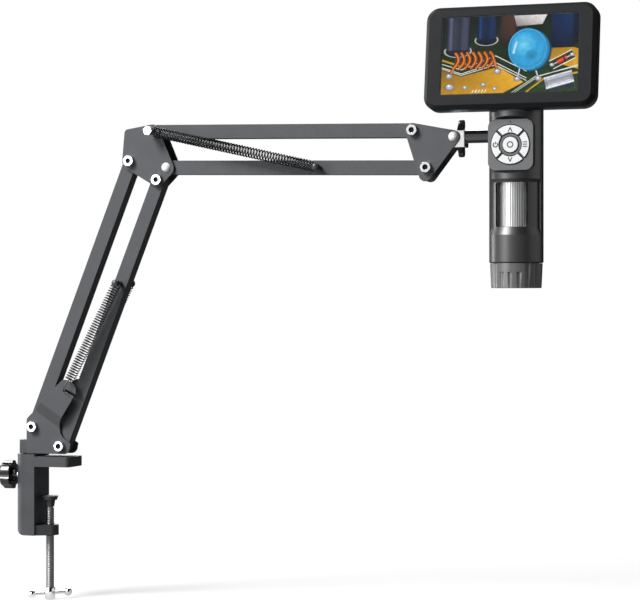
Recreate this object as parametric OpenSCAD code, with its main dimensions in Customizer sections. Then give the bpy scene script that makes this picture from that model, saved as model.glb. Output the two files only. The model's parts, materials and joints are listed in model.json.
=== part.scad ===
// Handheld display microscope on a desk-clamped, spring-balanced boom arm.
// Origin: clamp screw axis, on the underside of the upper jaw. +X along the boom, +Z up.
// The microscope's display faces -Y, and the arm lies in the plane y = 0.

/* [Clamp] */
// Width of the clamp casting
jaw_w = 25; // [22:0.5:32]
// Reach of the jaws past the clamp screw axis
jaw_reach = 21; // [15:0.5:35]
// Thickness of the upper jaw
upper_jaw_t = 7.4; // [6:0.2:10]
// Thickness of the lower jaw
lower_jaw_t = 7.5; // [6:0.1:10]
// Clear height between the two jaws
jaw_open = 43.3; // [36:0.1:60]
// Thickness of the table top that the clamp is closed on
table_t = 22; // [10:0.5:24]
// Distance from the clamp screw axis back to the swivel axis
swivel_back = 12.5; // [11:0.1:16]
// Distance from the clamp screw axis back to the inner face of the spine
throat_back = 6.8; // [5:0.1:8]
// Diameter of the clamp screw
screw_d = 6.2; // [5:0.1:8]
// Length of the clamp screw below the pad
screw_len = 59.4; // [50:0.1:80]
// Diameter of the clamp screw's head
screw_head_d = 7.8; // [7:0.1:10]
// Height of the clamp screw's head
screw_head_h = 9.2; // [7:0.1:12]
// Diameter of the pressure pad
pad_d = 12.4; // [10:0.1:13]
// Thickness of the pressure pad's plate
pad_t = 3; // [2:0.1:4]
// Diameter of the sliding tommy bar
tommy_d = 2.2; // [1.6:0.1:3]
// Distance between the centres of the tommy bar's end balls
tommy_len = 29; // [24:0.5:40]
// Diameter of the tommy bar's end balls
tommy_ball_d = 5.8; // [4:0.1:7]
// Turn of the tommy bar seen from above
tommy_turn = 50; // [0:1:180]
// Height of the thumb screw's axis below the table surface
thumb_drop = 7; // [6:0.1:10]
// Diameter of the thumb screw's thread
thumb_d = 5; // [4:0.1:6]
// Diameter of the thumb screw's knob
knob_d = 21; // [16:0.5:26]
// Thickness of the thumb screw's knob
knob_t = 9; // [7:0.1:12]

/* [Swivel base] */
// Diameter of the swivel pin
post_d = 8; // [7:0.1:9]
// Depth of the swivel pin in the clamp
post_depth = 20; // [18:0.5:30]
// Height of the swivel block between the plates
block_h = 10; // [8:0.1:12]
// Reach of the swivel block behind the swivel axis
block_back = 10.2; // [8:0.1:12]
// Reach of the swivel block in front of the swivel axis
block_front = 15.5; // [12:0.1:17]
// Thickness of the bracket plates
plate_t = 1.5; // [1.2:0.1:2]
// Side step of the base plates' upper lobes
jog_step = 4; // [3:0.1:5]
// Position of the base rear pivot in front of the swivel axis
rear_pivot_x = 1.9; // [0:0.1:4]
// Height of the base rear pivot above the table surface
rear_pivot_z = 29.2; // [27:0.1:33]

/* [Arm] */
// Side of the square tubes
tube_w = 10; // [9:0.1:12]
// Wall of the square tubes
tube_wall = 1; // [0.8:0.1:1.5]
// Side play between a tube and each bracket plate
side_play = 0.5; // [0.3:0.05:0.8]
// Length of the lower links between their pivots
lower_len = 209.2; // [150:0.1:260]
// Lean of the lower links from the vertical
lower_lean = 21.8; // [5:0.1:45]
// Distance between the two pivots of a lower pair
lower_gap = 26.1; // [24:0.1:30]
// Slope of the line through the base pivots
lower_slope = 32.5; // [20:0.1:40]
// Length of the upper links between their pivots
upper_len = 196; // [150:0.1:250]
// Drop of the upper links from the horizontal
upper_drop = 1.1; // [-10:0.1:15]
// Distance between the two pivots of an upper pair
upper_gap = 27.9; // [26:0.1:32]
// Slope of the line through the elbow's upper pivots
upper_slope = 69.2; // [60:0.1:80]
// Position of the elbow's top pivot in front of its rear pivot
elbow_top_x = 18.8; // [17:0.1:22]
// Height of the elbow's top pivot above its rear pivot
elbow_top_z = 20.9; // [19:0.1:25]
// Diameter of the pivot bolts
bolt_d = 4; // [3:0.1:5]
// Width across the flats of the pivot nuts and bolt heads
nut_af = 7; // [6:0.1:8]
// Height of the pivot nuts
nut_h = 3.2; // [2.4:0.1:4]
// Running clearance of every pivot, on the radius
fit = 0.04; // [0.02:0.01:0.08]
// Distance of the tilt bolt in front of the end plates' top pivot
tilt_x = 29.2; // [26:0.1:34]
// Drop of the tilt bolt below the end plates' top pivot
tilt_drop = 5.1; // [2:0.1:8]
// Reach of the wing nuts' wings from their axis
wing_r = 13.2; // [11:0.1:16]
// Height of the wing nuts
wing_h = 11; // [9:0.1:13]

/* [Springs] */
// Outer diameter of the springs' coils
spring_od = 7.7; // [6:0.1:9]
// Diameter of the spring wire
spring_wire = 1; // [0.7:0.05:1.3]
// Turns of each lower spring
lower_turns = 38; // [20:1:50]
// Turns of each upper spring
upper_turns = 60; // [30:1:70]
// Distance of the lower spring pin from the base front pivot
lower_pin_at = 128.6; // [110:0.1:150]
// Distance of the upper spring pin from the elbow's lower pivot
upper_pin_at = 117; // [100:0.1:140]
// Diameter of the spring pins
spring_pin_d = 3; // [2.5:0.1:4]
// Diameter of the spring pins' heads
pin_head_d = 5.2; // [4.5:0.1:7]

/* [Mount rod] */
// Diameter of the rod that carries the microscope
rod_d = 9; // [8:0.1:11]
// Visible length of the rod
rod_len = 16.9; // [12:0.1:40]
// Height of the silver swivel block
head_h = 11.6; // [11:0.1:14]
// Reach of the silver swivel block in front of the tilt bolt
head_reach = 7.7; // [6.5:0.1:12]
// Diameter of the rod's threaded stud
stud_d = 6.35; // [5:0.05:8]

/* [Microscope] */
// Diameter of the microscope's body
body_d = 37.3; // [35:0.1:42]
// Length of the microscope's body
body_len = 103.2; // [100:0.1:125]
// Distance of the rod's axis below the body's upper end
rod_down = 15.5; // [12:0.1:18]
// Wall of the body shells
shell_t = 2.2; // [1.8:0.1:2.6]
// Depth of the finger recess round the focus wheel
recess_d = 1.55; // [1:0.05:1.8]
// Half angle that the finger recess spans
recess_a = 77; // [60:1:82]
// Width of the focus wheel's windows
window_w = 22.5; // [18:0.1:25]
// Height of the focus wheel's windows
window_h = 30.6; // [26:0.1:33]
// Depth of the focus wheel's face below the finger recess
wheel_set = 1.8; // [1.6:0.1:2.4]
// Width of the key panel
panel_w = 31.6; // [30:0.1:34]
// Height of the key panel
panel_h = 34.7; // [32:0.1:37]
// Thickness of the key panel
panel_t = 2; // [1.6:0.1:2.4]
// Distance of the key panel's face in front of the body's axis
panel_y = 16.5; // [16:0.1:17.5]
// Diameter of the middle key
ok_d = 10.6; // [9:0.1:11]
// Inner radius of the ring of keys
keys_in = 8.2; // [7.8:0.1:8.8]
// Outer radius of the ring of keys
keys_out = 13.2; // [12.5:0.1:13.4]
// Visible gap round each key
key_gap = 0.45; // [0.3:0.05:0.5]
// Travel of the keys
key_travel = 0.8; // [0.4:0.1:0.9]
// Length of the distance ring
ring_len = 16.9; // [14:0.1:20]
// Step from the body's side in to the distance ring's upper edge
ring_set = 0.55; // [0.3:0.05:0.9]
// Taper of the distance ring's radius over its length
ring_taper = 0.8; // [0:0.1:1]
// Number of flutes round the distance ring
flutes = 18; // [12:1:24]
// Travel of the distance ring
ring_travel = 8; // [5:0.5:9]

/* [Display] */
// Width of the display housing
display_w = 120; // [112:0.5:140]
// Height of the display housing
display_h = 72; // [68:0.5:80]
// Thickness of the display housing
display_t = 14; // [12:0.1:18]
// Corner radius of the display housing
display_r = 9.5; // [7:0.1:12]
// Width of the bevel round the front of the display
bevel = 2.75; // [1.5:0.05:3.5]
// Backward tilt of the display
display_tilt = 8; // [4:0.5:12]
// Width of the screen's picture
screen_w = 95.2; // [88:0.1:98]
// Height of the screen's picture
screen_h = 53.5; // [48:0.1:55]
// Distance of the display's front face in front of the body's axis, at mid height
display_y = 20.4; // [19:0.1:23]

/* [Hidden] */
$fn = 64;

// Clamp
swivel_x = -swivel_back;
spine_r = jaw_w / 2;                     // the spine's back end is a half round on the swivel axis
boss_h = 1.4;                            // the spine stands this much above the upper jaw
clamp_top = upper_jaw_t + boss_h;
clamp_low = -jaw_open - lower_jaw_t;
pad_top = -table_t;
pad_hub_h = 5;                           // hub under the pad's plate
pad_low = pad_top - pad_t - pad_hub_h;
screw_tip_d = screw_d - 1.4;             // neck that turns in the pad
screw_low = pad_low - screw_len;
head_low = screw_low - screw_head_h;
jaw_boss_r = 6.5;                        // round the screw in the lower jaw
knob_off = 2;                            // between the spine and the thumb screw's knob
thumb_out = 7.8;                         // of the thumb screw, behind the spine
washer_t = 0.5;
washer_d = 10.6;

// Swivel base
base_z = clamp_top + washer_t;
base_rear = [swivel_x + rear_pivot_x, rear_pivot_z];
base_front = base_rear + lower_gap * [cos(lower_slope), -sin(lower_slope)];
plate_in = tube_w / 2 + side_play;       // inner face of the bracket plates
plate_out = plate_in + plate_t;
lobe_out = plate_out + jog_step;
jog_tilt = 57.75;                        // direction across the bend, seen from the side
jog_from = 30;                           // where the bend starts, measured along that direction
jog_run = 8.4;

// Arm pivots, as [x, z]
lower_dir = [sin(lower_lean), cos(lower_lean)];
upper_dir = [cos(upper_drop), -sin(upper_drop)];
elbow_rear = base_rear + lower_len * lower_dir;
elbow_front = base_front + lower_len * lower_dir;
elbow_top = elbow_rear + [elbow_top_x, elbow_top_z];
elbow_low = elbow_top + upper_gap * [cos(upper_slope), -sin(upper_slope)];
end_top = elbow_top + upper_len * upper_dir;
end_low = elbow_low + upper_len * upper_dir;
tilt_at = end_top + [tilt_x, -tilt_drop];
lower_pin = base_front + lower_pin_at * lower_dir;
upper_pin = elbow_low + upper_pin_at * upper_dir;

// Springs
coil_r = (spring_od - spring_wire) / 2;
spring_y = plate_out + spring_od / 2 + 0.75;        // plane of the springs' axes
pin_reach = spring_y + spring_od / 2 + 0.1;         // inner face of the pins' heads
pin_loop_r = (spring_pin_d + spring_wire) / 2 + 0.05;
bolt_loop_r = (bolt_d + spring_wire) / 2 + 0.05;
lobe_tip = base_rear + [30.6, 31.8];                // where the lower spring pulls on the lobe's edge
hook_dir = (lower_pin - lobe_tip) / norm(lower_pin - lobe_tip);
tab_t = 4.6;                                        // lobe left between the notch and its edge
hook_l = 2.8;                                       // straight part of the hook
hook_side = spring_y - lobe_out + plate_t;          // from the lobe's back to the spring's axis
hook_in = sqrt((coil_r - spring_wire / 2)^2 - hook_side^2);
hook_at = lobe_tip - (tab_t + 0.03 - hook_in) * hook_dir;

// Mount rod and microscope
rod_z = tilt_at[1];
head_end = tilt_at[0] + head_reach;
head_drop = 1.6;                         // the silver block's middle below the tilt bolt
body_r = body_d / 2;
scope_x = head_end + rod_len + body_r;
rod_up = body_len - rod_down;
body_z = rod_z - rod_up;
inner_r = body_r - shell_t;
spigot_l = 4;                            // of the rod, turning in the silver block
spigot_d = rod_d - 3;
split_y = 6;                             // plane where the two shells meet
recess_r = body_r - recess_d;
wheel_r = recess_r - wheel_set;
waist_r = wheel_r + 0.3;                 // bore of the shells round the wheel
recess_low = 18.2;
recess_high = 58.2;
window_z = 39.7;                         // middle of the windows
wheel_low = window_z - window_h / 2 - 1.2;
wheel_high = window_z + window_h / 2 + 1.4;
shelf_t = 2.3;                           // floors inside the shells, under and over the wheel
rim_t = 2.2;                             // lower rim that holds the nose's flange
light_r = inner_r - 6.05;                // clear bore up to the sensor
front_wall = 1.3;                        // behind the key panel
sensor_z = wheel_high + 0.2 + shelf_t + 1.3;
panel_z = body_len - 22.7;               // middle of the key panel
panel_back = panel_y - panel_t;
panel_r = 5.5;
board_y = 12;
board_t = 1.2;
port_z = body_len - 6.7;
port_y = 2.5;
port_l = 9;
port_t = 3.2;
boss_d = 5.4;
boss_x = inner_r - boss_d / 2 - 0.55;    // the bosses run into the shell's wall
boss_y = inner_r - 7.45;                 // front end of the bosses
boss_zs = [8.2, 68.2];                   // heights of the shell screws
boss_screw_d = 2;
ring_r = body_r - ring_set;
hood_r = ring_r - 2.2;
nose_r = hood_r - 1.3;
nose_in = nose_r - 1.6;
nose_low = -14.8;
ring_gap = 0.3;
ring_low = -ring_gap - ring_len;
patch_a = 38;                            // half angle of the distance ring's plain patch
led_count = 8;
led_circle_r = nose_in - 2.8;
barrel_r = wheel_r - 3.3;
barrel_l = 16;                           // wide part of the lens barrel, inside the wheel
lens_r = 4.5;
sensor_r = panel_back - front_wall - 0.2;
board_w = 2 * sqrt((inner_r - 0.35)^2 - board_y^2);
cell_w = 2 * (boss_x - boss_d / 2) - 1.4;
cell_l = body_len - sensor_z - 7;

// Display
display_z = body_z + body_len + display_h / 2 * cos(display_tilt) + display_t * sin(display_tilt);
bezel_t = 6;
neck_h = 45;                             // of the neck above the body, at the display's back
screen_up = 1.3;                         // the picture sits above the middle of the face

// ---- Shared shapes ----

// Direction of the outer common tangent of two circles [x, y, r], to the right of the way a to b
function tangent(a, b) = let(d = [b[0] - a[0], b[1] - a[1]],
  t = atan2(d[1], d[0]) - acos((a[2] - b[2]) / norm(d))) [cos(t), sin(t)];

// Outline round circles [x, y, r] listed anticlockwise, with true arcs
module round_hull(c) {
  n = len(c);
  polygon([for (i = [0 : n - 1]) let(a = c[i], b = c[(i + 1) % n], u = tangent(a, b))
    each [[a[0] + a[2] * u[0], a[1] + a[2] * u[1]], [b[0] + b[2] * u[0], b[1] + b[2] * u[1]]]]);
  for (k = c) translate([k[0], k[1]]) circle(k[2]);
}

module round_rect(w, h, r) {
  x = w / 2 - r;
  y = h / 2 - r;
  round_hull([[-x, -y, r], [x, -y, r], [x, y, r], [-x, y, r]]);
}

// A flat outline drawn in x and z, thickened along y from y0 to y1
module along_y(y0, y1) translate([0, y1, 0]) rotate([90, 0, 0]) linear_extrude(y1 - y0) children();

// A round bar or bore along y at p = [x, z]
module bar_y(p, d, y0, y1) translate([p[0], y0, p[1]]) rotate([-90, 0, 0]) cylinder(h = y1 - y0, d = d);

// A hexagon along y at p
module hex_y(p, af, y0, y1, turn = 0) translate([p[0], y0, p[1]]) rotate([-90, turn, 0])
  cylinder(h = y1 - y0, d = af / cos(30), $fn = 6);

// Chamfered disc end of a nut, cut from its corners
module nut(p, af, h, y, side) {
  low = side > 0 ? y : y - h;
  intersection() {
    difference() {
      hex_y(p, af, low, low + h, 10);
      bar_y(p, bolt_d, low - 1, low + h + 1);
    }
    translate([p[0], y, p[1]]) rotate([side > 0 ? -90 : 90, 0, 0])
      cylinder(h = h, r1 = af * 0.65, r2 = af * 0.5 + 0.15);
  }
}

// Low dome on a flat, d wide and h high, growing from the plane y towards side
module dome(p, d, h, y, side) {
  r = (d * d / 4 + h * h) / (2 * h);
  translate([p[0], y, p[1]]) rotate([side > 0 ? -90 : 90, 0, 0]) intersection() {
    translate([0, 0, h - r]) sphere(r);
    cylinder(h = h + 1, d = d + 1);
  }
}

// Mirrors a piece of the near side to the far side
module far_side() mirror([0, 1, 0]) children();

// ---- Clamp ----

module clamp_plan(front) {
  round_hull([[swivel_x, 0, spine_r], [front - 3, -spine_r + 3, 3], [front - 3, spine_r - 3, 3]]);
}

module clamp_body() color("#303133") difference() {
  intersection() {
    union() {
      // upper jaw
      linear_extrude(upper_jaw_t) clamp_plan(jaw_reach);
      // spine with the swivel boss on top
      translate([0, 0, clamp_low]) linear_extrude(clamp_top - clamp_low) intersection() {
        clamp_plan(jaw_reach);
        translate([swivel_x - spine_r, -spine_r]) square([spine_r + swivel_back - throat_back, jaw_w]);
      }
      // lower jaw, tapering to the screw boss
      translate([0, 0, clamp_low]) linear_extrude(lower_jaw_t)
        round_hull([[swivel_x, 0, spine_r], [0, 0, jaw_boss_r]]);
    }
    // the lower back corner is rounded
    along_y(-jaw_w, jaw_w) round_hull([
      [swivel_x - spine_r + 9, clamp_low + 9, 9], [jaw_reach, clamp_low + 1, 1],
      [jaw_reach, clamp_top - 1, 1], [swivel_x - spine_r + 1, clamp_top - 1, 1]]);
  }
  // socket of the swivel pin
  translate([swivel_x, 0, clamp_top - post_depth - 1]) cylinder(h = post_depth + 2, d = post_d + 2 * fit);
  // hole of the thumb screw
  translate([swivel_x - spine_r - 1, 0, -thumb_drop]) rotate([0, 90, 0])
    cylinder(h = spine_r, d = thumb_d + 2 * fit);
  // hole of the clamp screw
  translate([0, 0, clamp_low - 1]) cylinder(h = lower_jaw_t + 2, d = screw_d + 2 * fit);
}

module thumb_screw() color("silver") translate([swivel_x, 0, -thumb_drop]) rotate([0, -90, 0])
  translate([0, 0, post_d / 2 + 0.1]) cylinder(h = spine_r - post_d / 2 + thumb_out, d = thumb_d);

module thumb_knob() color("#151515") translate([swivel_x - spine_r - knob_off, 0, -thumb_drop])
  rotate([0, -90, 0]) difference() {
    union() {
      cylinder(h = 2.4, d = knob_d * 0.5);
      translate([0, 0, 2.4]) intersection() {
        linear_extrude(knob_t) difference() {
          circle(d = knob_d);
          for (k = [0 : 5]) rotate(k * 60 + 30) translate([knob_d * 0.62, 0]) circle(knob_d * 0.2);
        }
        union() {
          cylinder(h = knob_t - 2.5, d = knob_d);
          translate([0, 0, knob_t - 2.5]) cylinder(h = 2.5, d1 = knob_d, d2 = knob_d - 5);
        }
      }
    }
    translate([0, 0, -1]) cylinder(h = thumb_out - knob_off + 1.3, d = thumb_d);
  }

module clamp_screw() color("silver") difference() {
  union() {
    translate([0, 0, screw_low]) cylinder(h = pad_low - 0.1 - screw_low, d = screw_d);
    translate([0, 0, pad_low - 1]) cylinder(h = pad_hub_h + 0.8, d = screw_tip_d);
    translate([0, 0, head_low]) cylinder(h = screw_head_h, d = screw_head_d);
  }
  translate([0, 0, head_low + screw_head_h / 2]) rotate([0, 90, tommy_turn])
    cylinder(h = 2 * screw_head_d, d = tommy_d + 2 * fit, center = true);
}

module screw_pad() color("#3a3b3d") difference() {
  union() {
    translate([0, 0, pad_top - pad_t]) cylinder(h = pad_t, d1 = pad_d - 2, d2 = pad_d);
    translate([0, 0, pad_low]) cylinder(h = pad_hub_h + 0.5, d1 = pad_d / 2, d2 = pad_d * 0.65);
  }
  translate([0, 0, pad_low - 1]) cylinder(h = pad_hub_h + 1, d = screw_tip_d + 2 * fit);
}

module tommy_bar() color("silver") translate([0, 0, head_low + screw_head_h / 2])
  rotate([0, 90, tommy_turn]) {
    cylinder(h = tommy_len, d = tommy_d, center = true);
    for (s = [-1, 1]) translate([0, 0, s * tommy_len / 2]) sphere(d = tommy_ball_d);
  }

// ---- Swivel base ----

module pivot_washer() color("#101010") translate([swivel_x, 0, clamp_top]) difference() {
  cylinder(h = washer_t, d = washer_d);
  translate([0, 0, -1]) cylinder(h = washer_t + 2, d = post_d + 2 * fit);
}

module swivel_post() color("#2c2d2f") {
  translate([swivel_x, 0, clamp_top - post_depth]) cylinder(h = post_depth + washer_t + 1, d = post_d);
  translate([0, 0, base_z]) linear_extrude(block_h) round_hull([
    [swivel_x - block_back + 1.5, -plate_in + 1.5, 1.5], [swivel_x + block_front - 1, -plate_in + 1, 1],
    [swivel_x + block_front - 1, plate_in - 1, 1], [swivel_x - block_back + 1.5, plate_in - 1.5, 1.5]]);
}

// Side view of a base plate, seen from the front
module base_outline() {
  lobe = lobe_tip - [20, 61];             // the lobe's corners are measured from here
  lobe_r = 4.9;
  waist = base_front + [10.2, 13.1];      // middle of the hollow edge under the lobe
  hollow_r = 10.3;
  difference() {
    round_hull([
      [swivel_x - 2.3, base_z + 1, 1], [base_front[0] + 3, base_z + 5, 5],
      [lobe[0] + 24.5, lobe[1] + 50.4, 1.3], [lobe[0] + 21.3, lobe[1] + 56.5, lobe_r],
      [lobe[0] + 17.2, lobe[1] + 59.2, lobe_r], [swivel_x - 0.3, rear_pivot_z + 4.4, 3]]);
    round_hull([[waist[0], waist[1], hollow_r], [waist[0] + 24.7, waist[1] - 17.5, hollow_r],
      [waist[0] + 16.4, waist[1] + 25.1, hollow_r]]);
  }
}

// What a straight block loses to become a bent plate, as sketches across the bend:
// the space in front of the lower part, and the space behind the upper part
module bend_cut(front) {
  turn = atan(jog_step / jog_run);
  shift = plate_t * tan(turn / 2);
  over = jog_run / jog_step;  // how far the slope runs on for each millimetre past a face
  if (front) polygon([[-90, -lobe_out - 1], [jog_from + jog_run + over, -lobe_out - 1],
    [jog_from, -plate_out], [-90, -plate_out]]);
  else polygon([[jog_from + shift - over, -plate_in + 1],
    [jog_from + jog_run + shift, -lobe_out + plate_t], [120, -lobe_out + plate_t], [120, -plate_in + 1]]);
}

module base_plate() difference() {
  along_y(-lobe_out, -plate_in) base_outline();
  for (front = [true, false]) rotate([0, -jog_tilt, 0]) translate([0, 0, -60])
    linear_extrude(120) bend_cut(front);
  for (p = [base_rear, base_front]) bar_y(p, bolt_d, -plate_out - 1, -plate_in + 1);
  // open notch that the lower spring hooks into
  notch = lobe_tip - (tab_t + 1) * hook_dir;
  along_y(-lobe_out - 1, -plate_in + 1)
    round_hull([[notch[0] - 0.6, notch[1] + 0.4, 1], [notch[0] + 12, notch[1] - 5.5, 1]]);
}

module base_plate_near() color("#4a4c4f") base_plate();
module base_plate_far() color("#4a4c4f") far_side() base_plate();

// Bolts with a hexagon head on the far side, ending inside the nut on the near side
module pivot_bolt(p) {
  bar_y(p, bolt_d, -plate_out - nut_h + 0.9, plate_out);
  hex_y(p, nut_af, plate_out, plate_out + 2.8, 10);
}

module base_bolts() color("silver") for (p = [base_rear, base_front]) pivot_bolt(p);
module base_nuts() color("silver") for (p = [base_rear, base_front]) nut(p, nut_af, nut_h, -plate_out, -1);

// ---- Arm ----

// Square tube from pivot a to pivot b, its ends rounded about the pivots
module tube(a, b) {
  d = b - a;
  bore = tube_w - 2 * tube_wall;
  difference() {
    translate([a[0], 0, a[1]]) rotate([0, -atan2(d[1], d[0]), 0]) difference() {
      along_y(-tube_w / 2, tube_w / 2) round_hull([[0, 0, tube_w / 2], [norm(d), 0, tube_w / 2]]);
      translate([norm(d) / 2, 0, 0]) cube([norm(d) + 2 * tube_w, bore, bore], center = true);
    }
    for (p = [a, b]) bar_y(p, bolt_d + 2 * fit, -tube_w, tube_w);
  }
}

module lower_rear_tube() color("#4a4c4f") tube(base_rear, elbow_rear);

module lower_front_tube() color("#4a4c4f") difference() {
  tube(base_front, elbow_front);
  bar_y(lower_pin, spring_pin_d, -tube_w, tube_w);
}

module spring_pin(p) {
  bar_y(p, spring_pin_d, -pin_reach, pin_reach);
  for (s = [-1, 1]) dome(p, pin_head_d, 1.2, s * (pin_reach - 0.01), s);
}

module lower_spring_pin() color("#2a2b2d") spring_pin(lower_pin);
module upper_spring_pin() color("#2a2b2d") spring_pin(upper_pin);

// Half a turn of wire, leaning up or down, in the plane of the coil
module half_turn(r, lean, turn) rotate([0, 0, turn]) rotate([0, lean, 0])
  rotate_extrude(angle = 180) translate([r, 0]) circle(d = spring_wire, $fn = 16);

// A closed loop of wire round z
module loop(r) rotate_extrude() translate([r, 0]) circle(d = spring_wire, $fn = 16);

// The hook through the lobe: a loop across the plate, drawn out to reach past the lobe's edge
module hook_loop() {
  for (k = [0, 1]) translate([0, 0, k * hook_l]) rotate([0, 90, 0])
    half_turn(coil_r, 0, k == 0 ? 270 : 90);
  for (s = [-1, 1]) translate([0, s * coil_r, 0]) cylinder(h = hook_l, d = spring_wire, $fn = 16);
}

// Extension spring along z from the lower loop's centre at 0 to the upper loop's centre at length.
// Both loops stand round y, or the lower one is the hook.
module spring(length, turns, low_r, high_r, hook) {
  start = hook ? hook_l + coil_r : low_r;
  pitch = (length - start - high_r) / turns;
  lean = asin(pitch / 4 / coil_r);
  translate([0, 0, start]) {
    for (k = [0 : 2 * turns - 1]) translate([0, 0, (k + 0.5) * pitch / 2])
      half_turn(coil_r, k % 2 == 0 ? lean : -lean, k % 2 == 0 ? 90 : 270);
    translate([0, coil_r / 2, 0]) half_turn(coil_r / 2, 0, 90);
    translate([0, coil_r / 2, length - start - high_r]) half_turn(coil_r / 2, 0, 270);
    sphere(d = spring_wire, $fn = 16);
  }
  if (hook) hook_loop();
  else rotate([90, 90, 0]) loop(low_r);
  translate([0, 0, length]) rotate([90, 0, 0]) loop(high_r);
}

// Puts a spring between two points [x, z] in the near springs' plane
module spring_between(a, b, turns, low_r, high_r, hook) {
  d = b - a;
  translate([a[0], -spring_y, a[1]]) rotate([0, atan2(d[0], d[1]), 0])
    spring(norm(d), turns, low_r, high_r, hook);
}

module lower_spring() spring_between(hook_at, lower_pin, lower_turns, coil_r, pin_loop_r, true);
module upper_spring() spring_between(elbow_top, upper_pin, upper_turns, bolt_loop_r, pin_loop_r, false);
module lower_spring_near() color("#55585c") lower_spring();
module lower_spring_far() color("#55585c") far_side() lower_spring();
module upper_spring_near() color("#55585c") upper_spring();
module upper_spring_far() color("#55585c") far_side() upper_spring();

// ---- Elbow ----

module elbow_plate() difference() {
  along_y(-plate_out, -plate_in) round_hull([
    [elbow_rear[0], elbow_rear[1] - 0.2, 5.8], [elbow_front[0] - 0.2, elbow_front[1] + 0.3, 5.3],
    [elbow_low[0], elbow_low[1] - 0.6, 6], [elbow_top[0] - 0.6, elbow_top[1] + 0.2, 5],
    [elbow_rear[0] - 1, elbow_top[1] - 0.8, 3]]);
  for (p = [elbow_rear, elbow_front, elbow_top, elbow_low]) bar_y(p, bolt_d, -plate_out - 1, -plate_in + 1);
}

module elbow_plate_near() color("#4a4c4f") elbow_plate();
module elbow_plate_far() color("#4a4c4f") far_side() elbow_plate();
module elbow_bolts() color("silver") for (p = [elbow_rear, elbow_front]) pivot_bolt(p);
module elbow_nuts() color("silver")
  for (p = [elbow_rear, elbow_front]) nut(p, nut_af, nut_h, -plate_out, -1);

// Long bolt that also carries the upper springs' end loops
module spring_bolt() color("silver") {
  bar_y(elbow_top, bolt_d, -pin_reach, pin_reach);
  hex_y(elbow_top, nut_af - 1, -pin_reach - 2.6, -pin_reach, 10);
  hex_y(elbow_top, nut_af, pin_reach, pin_reach + 2.8, 10);
}

// Carriage bolt: a low dome on the near side, the thread standing out on the far side
module lock_bolt(p) {
  dome(p, 6.8, 2, -plate_out, -1);
  bar_y(p, bolt_d, -plate_out, plate_out + 6.5);
}

// Wing nut on the far plate at p, its wings turned from level
module wing_nut(p, turn) translate([p[0], plate_out, p[1]]) rotate([0, -turn, 0]) rotate([-90, 0, 0])
  difference() {
    union() {
      cylinder(h = wing_h * 0.55, d1 = 10.4, d2 = 8.6);
      for (s = [0, 180]) rotate([90, 0, s]) translate([0, 0, -2.1]) linear_extrude(4.2)
        round_hull([[2.6, 2.6, 2.4], [wing_r - 4.6, wing_h - 4, 2], [wing_r - 2.4, wing_h - 2.4, 2.4],
          [wing_r - 5, wing_h - 2.2, 2.2], [3.4, wing_h * 0.55 - 1.2, 1.2]]);
    }
    translate([0, 0, -1]) cylinder(h = wing_h + 2, d = bolt_d + 2 * fit);
  }

module elbow_lock_bolt() color("silver") lock_bolt(elbow_low);
module elbow_wing_nut() color("#141414") wing_nut(elbow_low, -8);
module upper_top_tube() color("#4a4c4f") tube(elbow_top, end_top);

module upper_bottom_tube() color("#4a4c4f") difference() {
  tube(elbow_low, end_low);
  bar_y(upper_pin, spring_pin_d, -tube_w, tube_w);
}

// ---- End bracket ----

module end_plate() difference() {
  along_y(-plate_out, -plate_in) round_hull([
    [end_low[0] - 0.8, end_low[1] - 4.9, 4.8], [tilt_at[0] - 0.3, tilt_at[1] - 0.3, 4.8],
    [end_top[0] - 0.2, end_top[1] - 0.4, 5.4]]);
  for (p = [end_top, end_low, tilt_at]) bar_y(p, bolt_d, -plate_out - 1, -plate_in + 1);
}

module end_plate_near() color("#4a4c4f") end_plate();
module end_plate_far() color("#4a4c4f") far_side() end_plate();
module end_bolts() color("silver") for (p = [end_top, end_low]) pivot_bolt(p);
module end_nuts() color("silver") for (p = [end_top, end_low]) nut(p, nut_af, nut_h, -plate_out, -1);
module tilt_bolt() color("silver") lock_bolt(tilt_at);
module tilt_wing_nut() color("#141414") wing_nut(tilt_at, 90);

module swivel_block() color("silver") difference() {
  x = tilt_at[0] - 1.5;
  z = tilt_at[1] - head_drop;
  back_r = 3.5;
  edge_r = 0.6;
  along_y(-plate_in + 0.1, plate_in - 0.1) round_hull([
    [x, z - head_h / 2 + back_r, back_r], [head_end - edge_r, z - head_h / 2 + edge_r, edge_r],
    [head_end - edge_r, z + head_h / 2 - edge_r, edge_r], [x, z + head_h / 2 - back_r, back_r]]);
  bar_y(tilt_at, bolt_d + 2 * fit, -plate_in - 1, plate_in + 1);
  translate([head_end - spigot_l, 0, rod_z]) rotate([0, 90, 0])
    cylinder(h = spigot_l + 2, d = spigot_d + 2 * fit);
}

module mount_rod() color("#1b1c1e") translate([head_end, 0, rod_z]) rotate([0, 90, 0]) {
  translate([0, 0, 0.05]) cylinder(h = rod_len - 0.05, d = rod_d);
  translate([0, 0, 0.1 - spigot_l]) cylinder(h = spigot_l + 0.2, d = spigot_d);
  cylinder(h = rod_len + shell_t + 3, d = stud_d);
}

// ---- Microscope body, drawn with z = 0 at its lower end ----

module scope() translate([scope_x, 0, body_z]) children();

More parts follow.
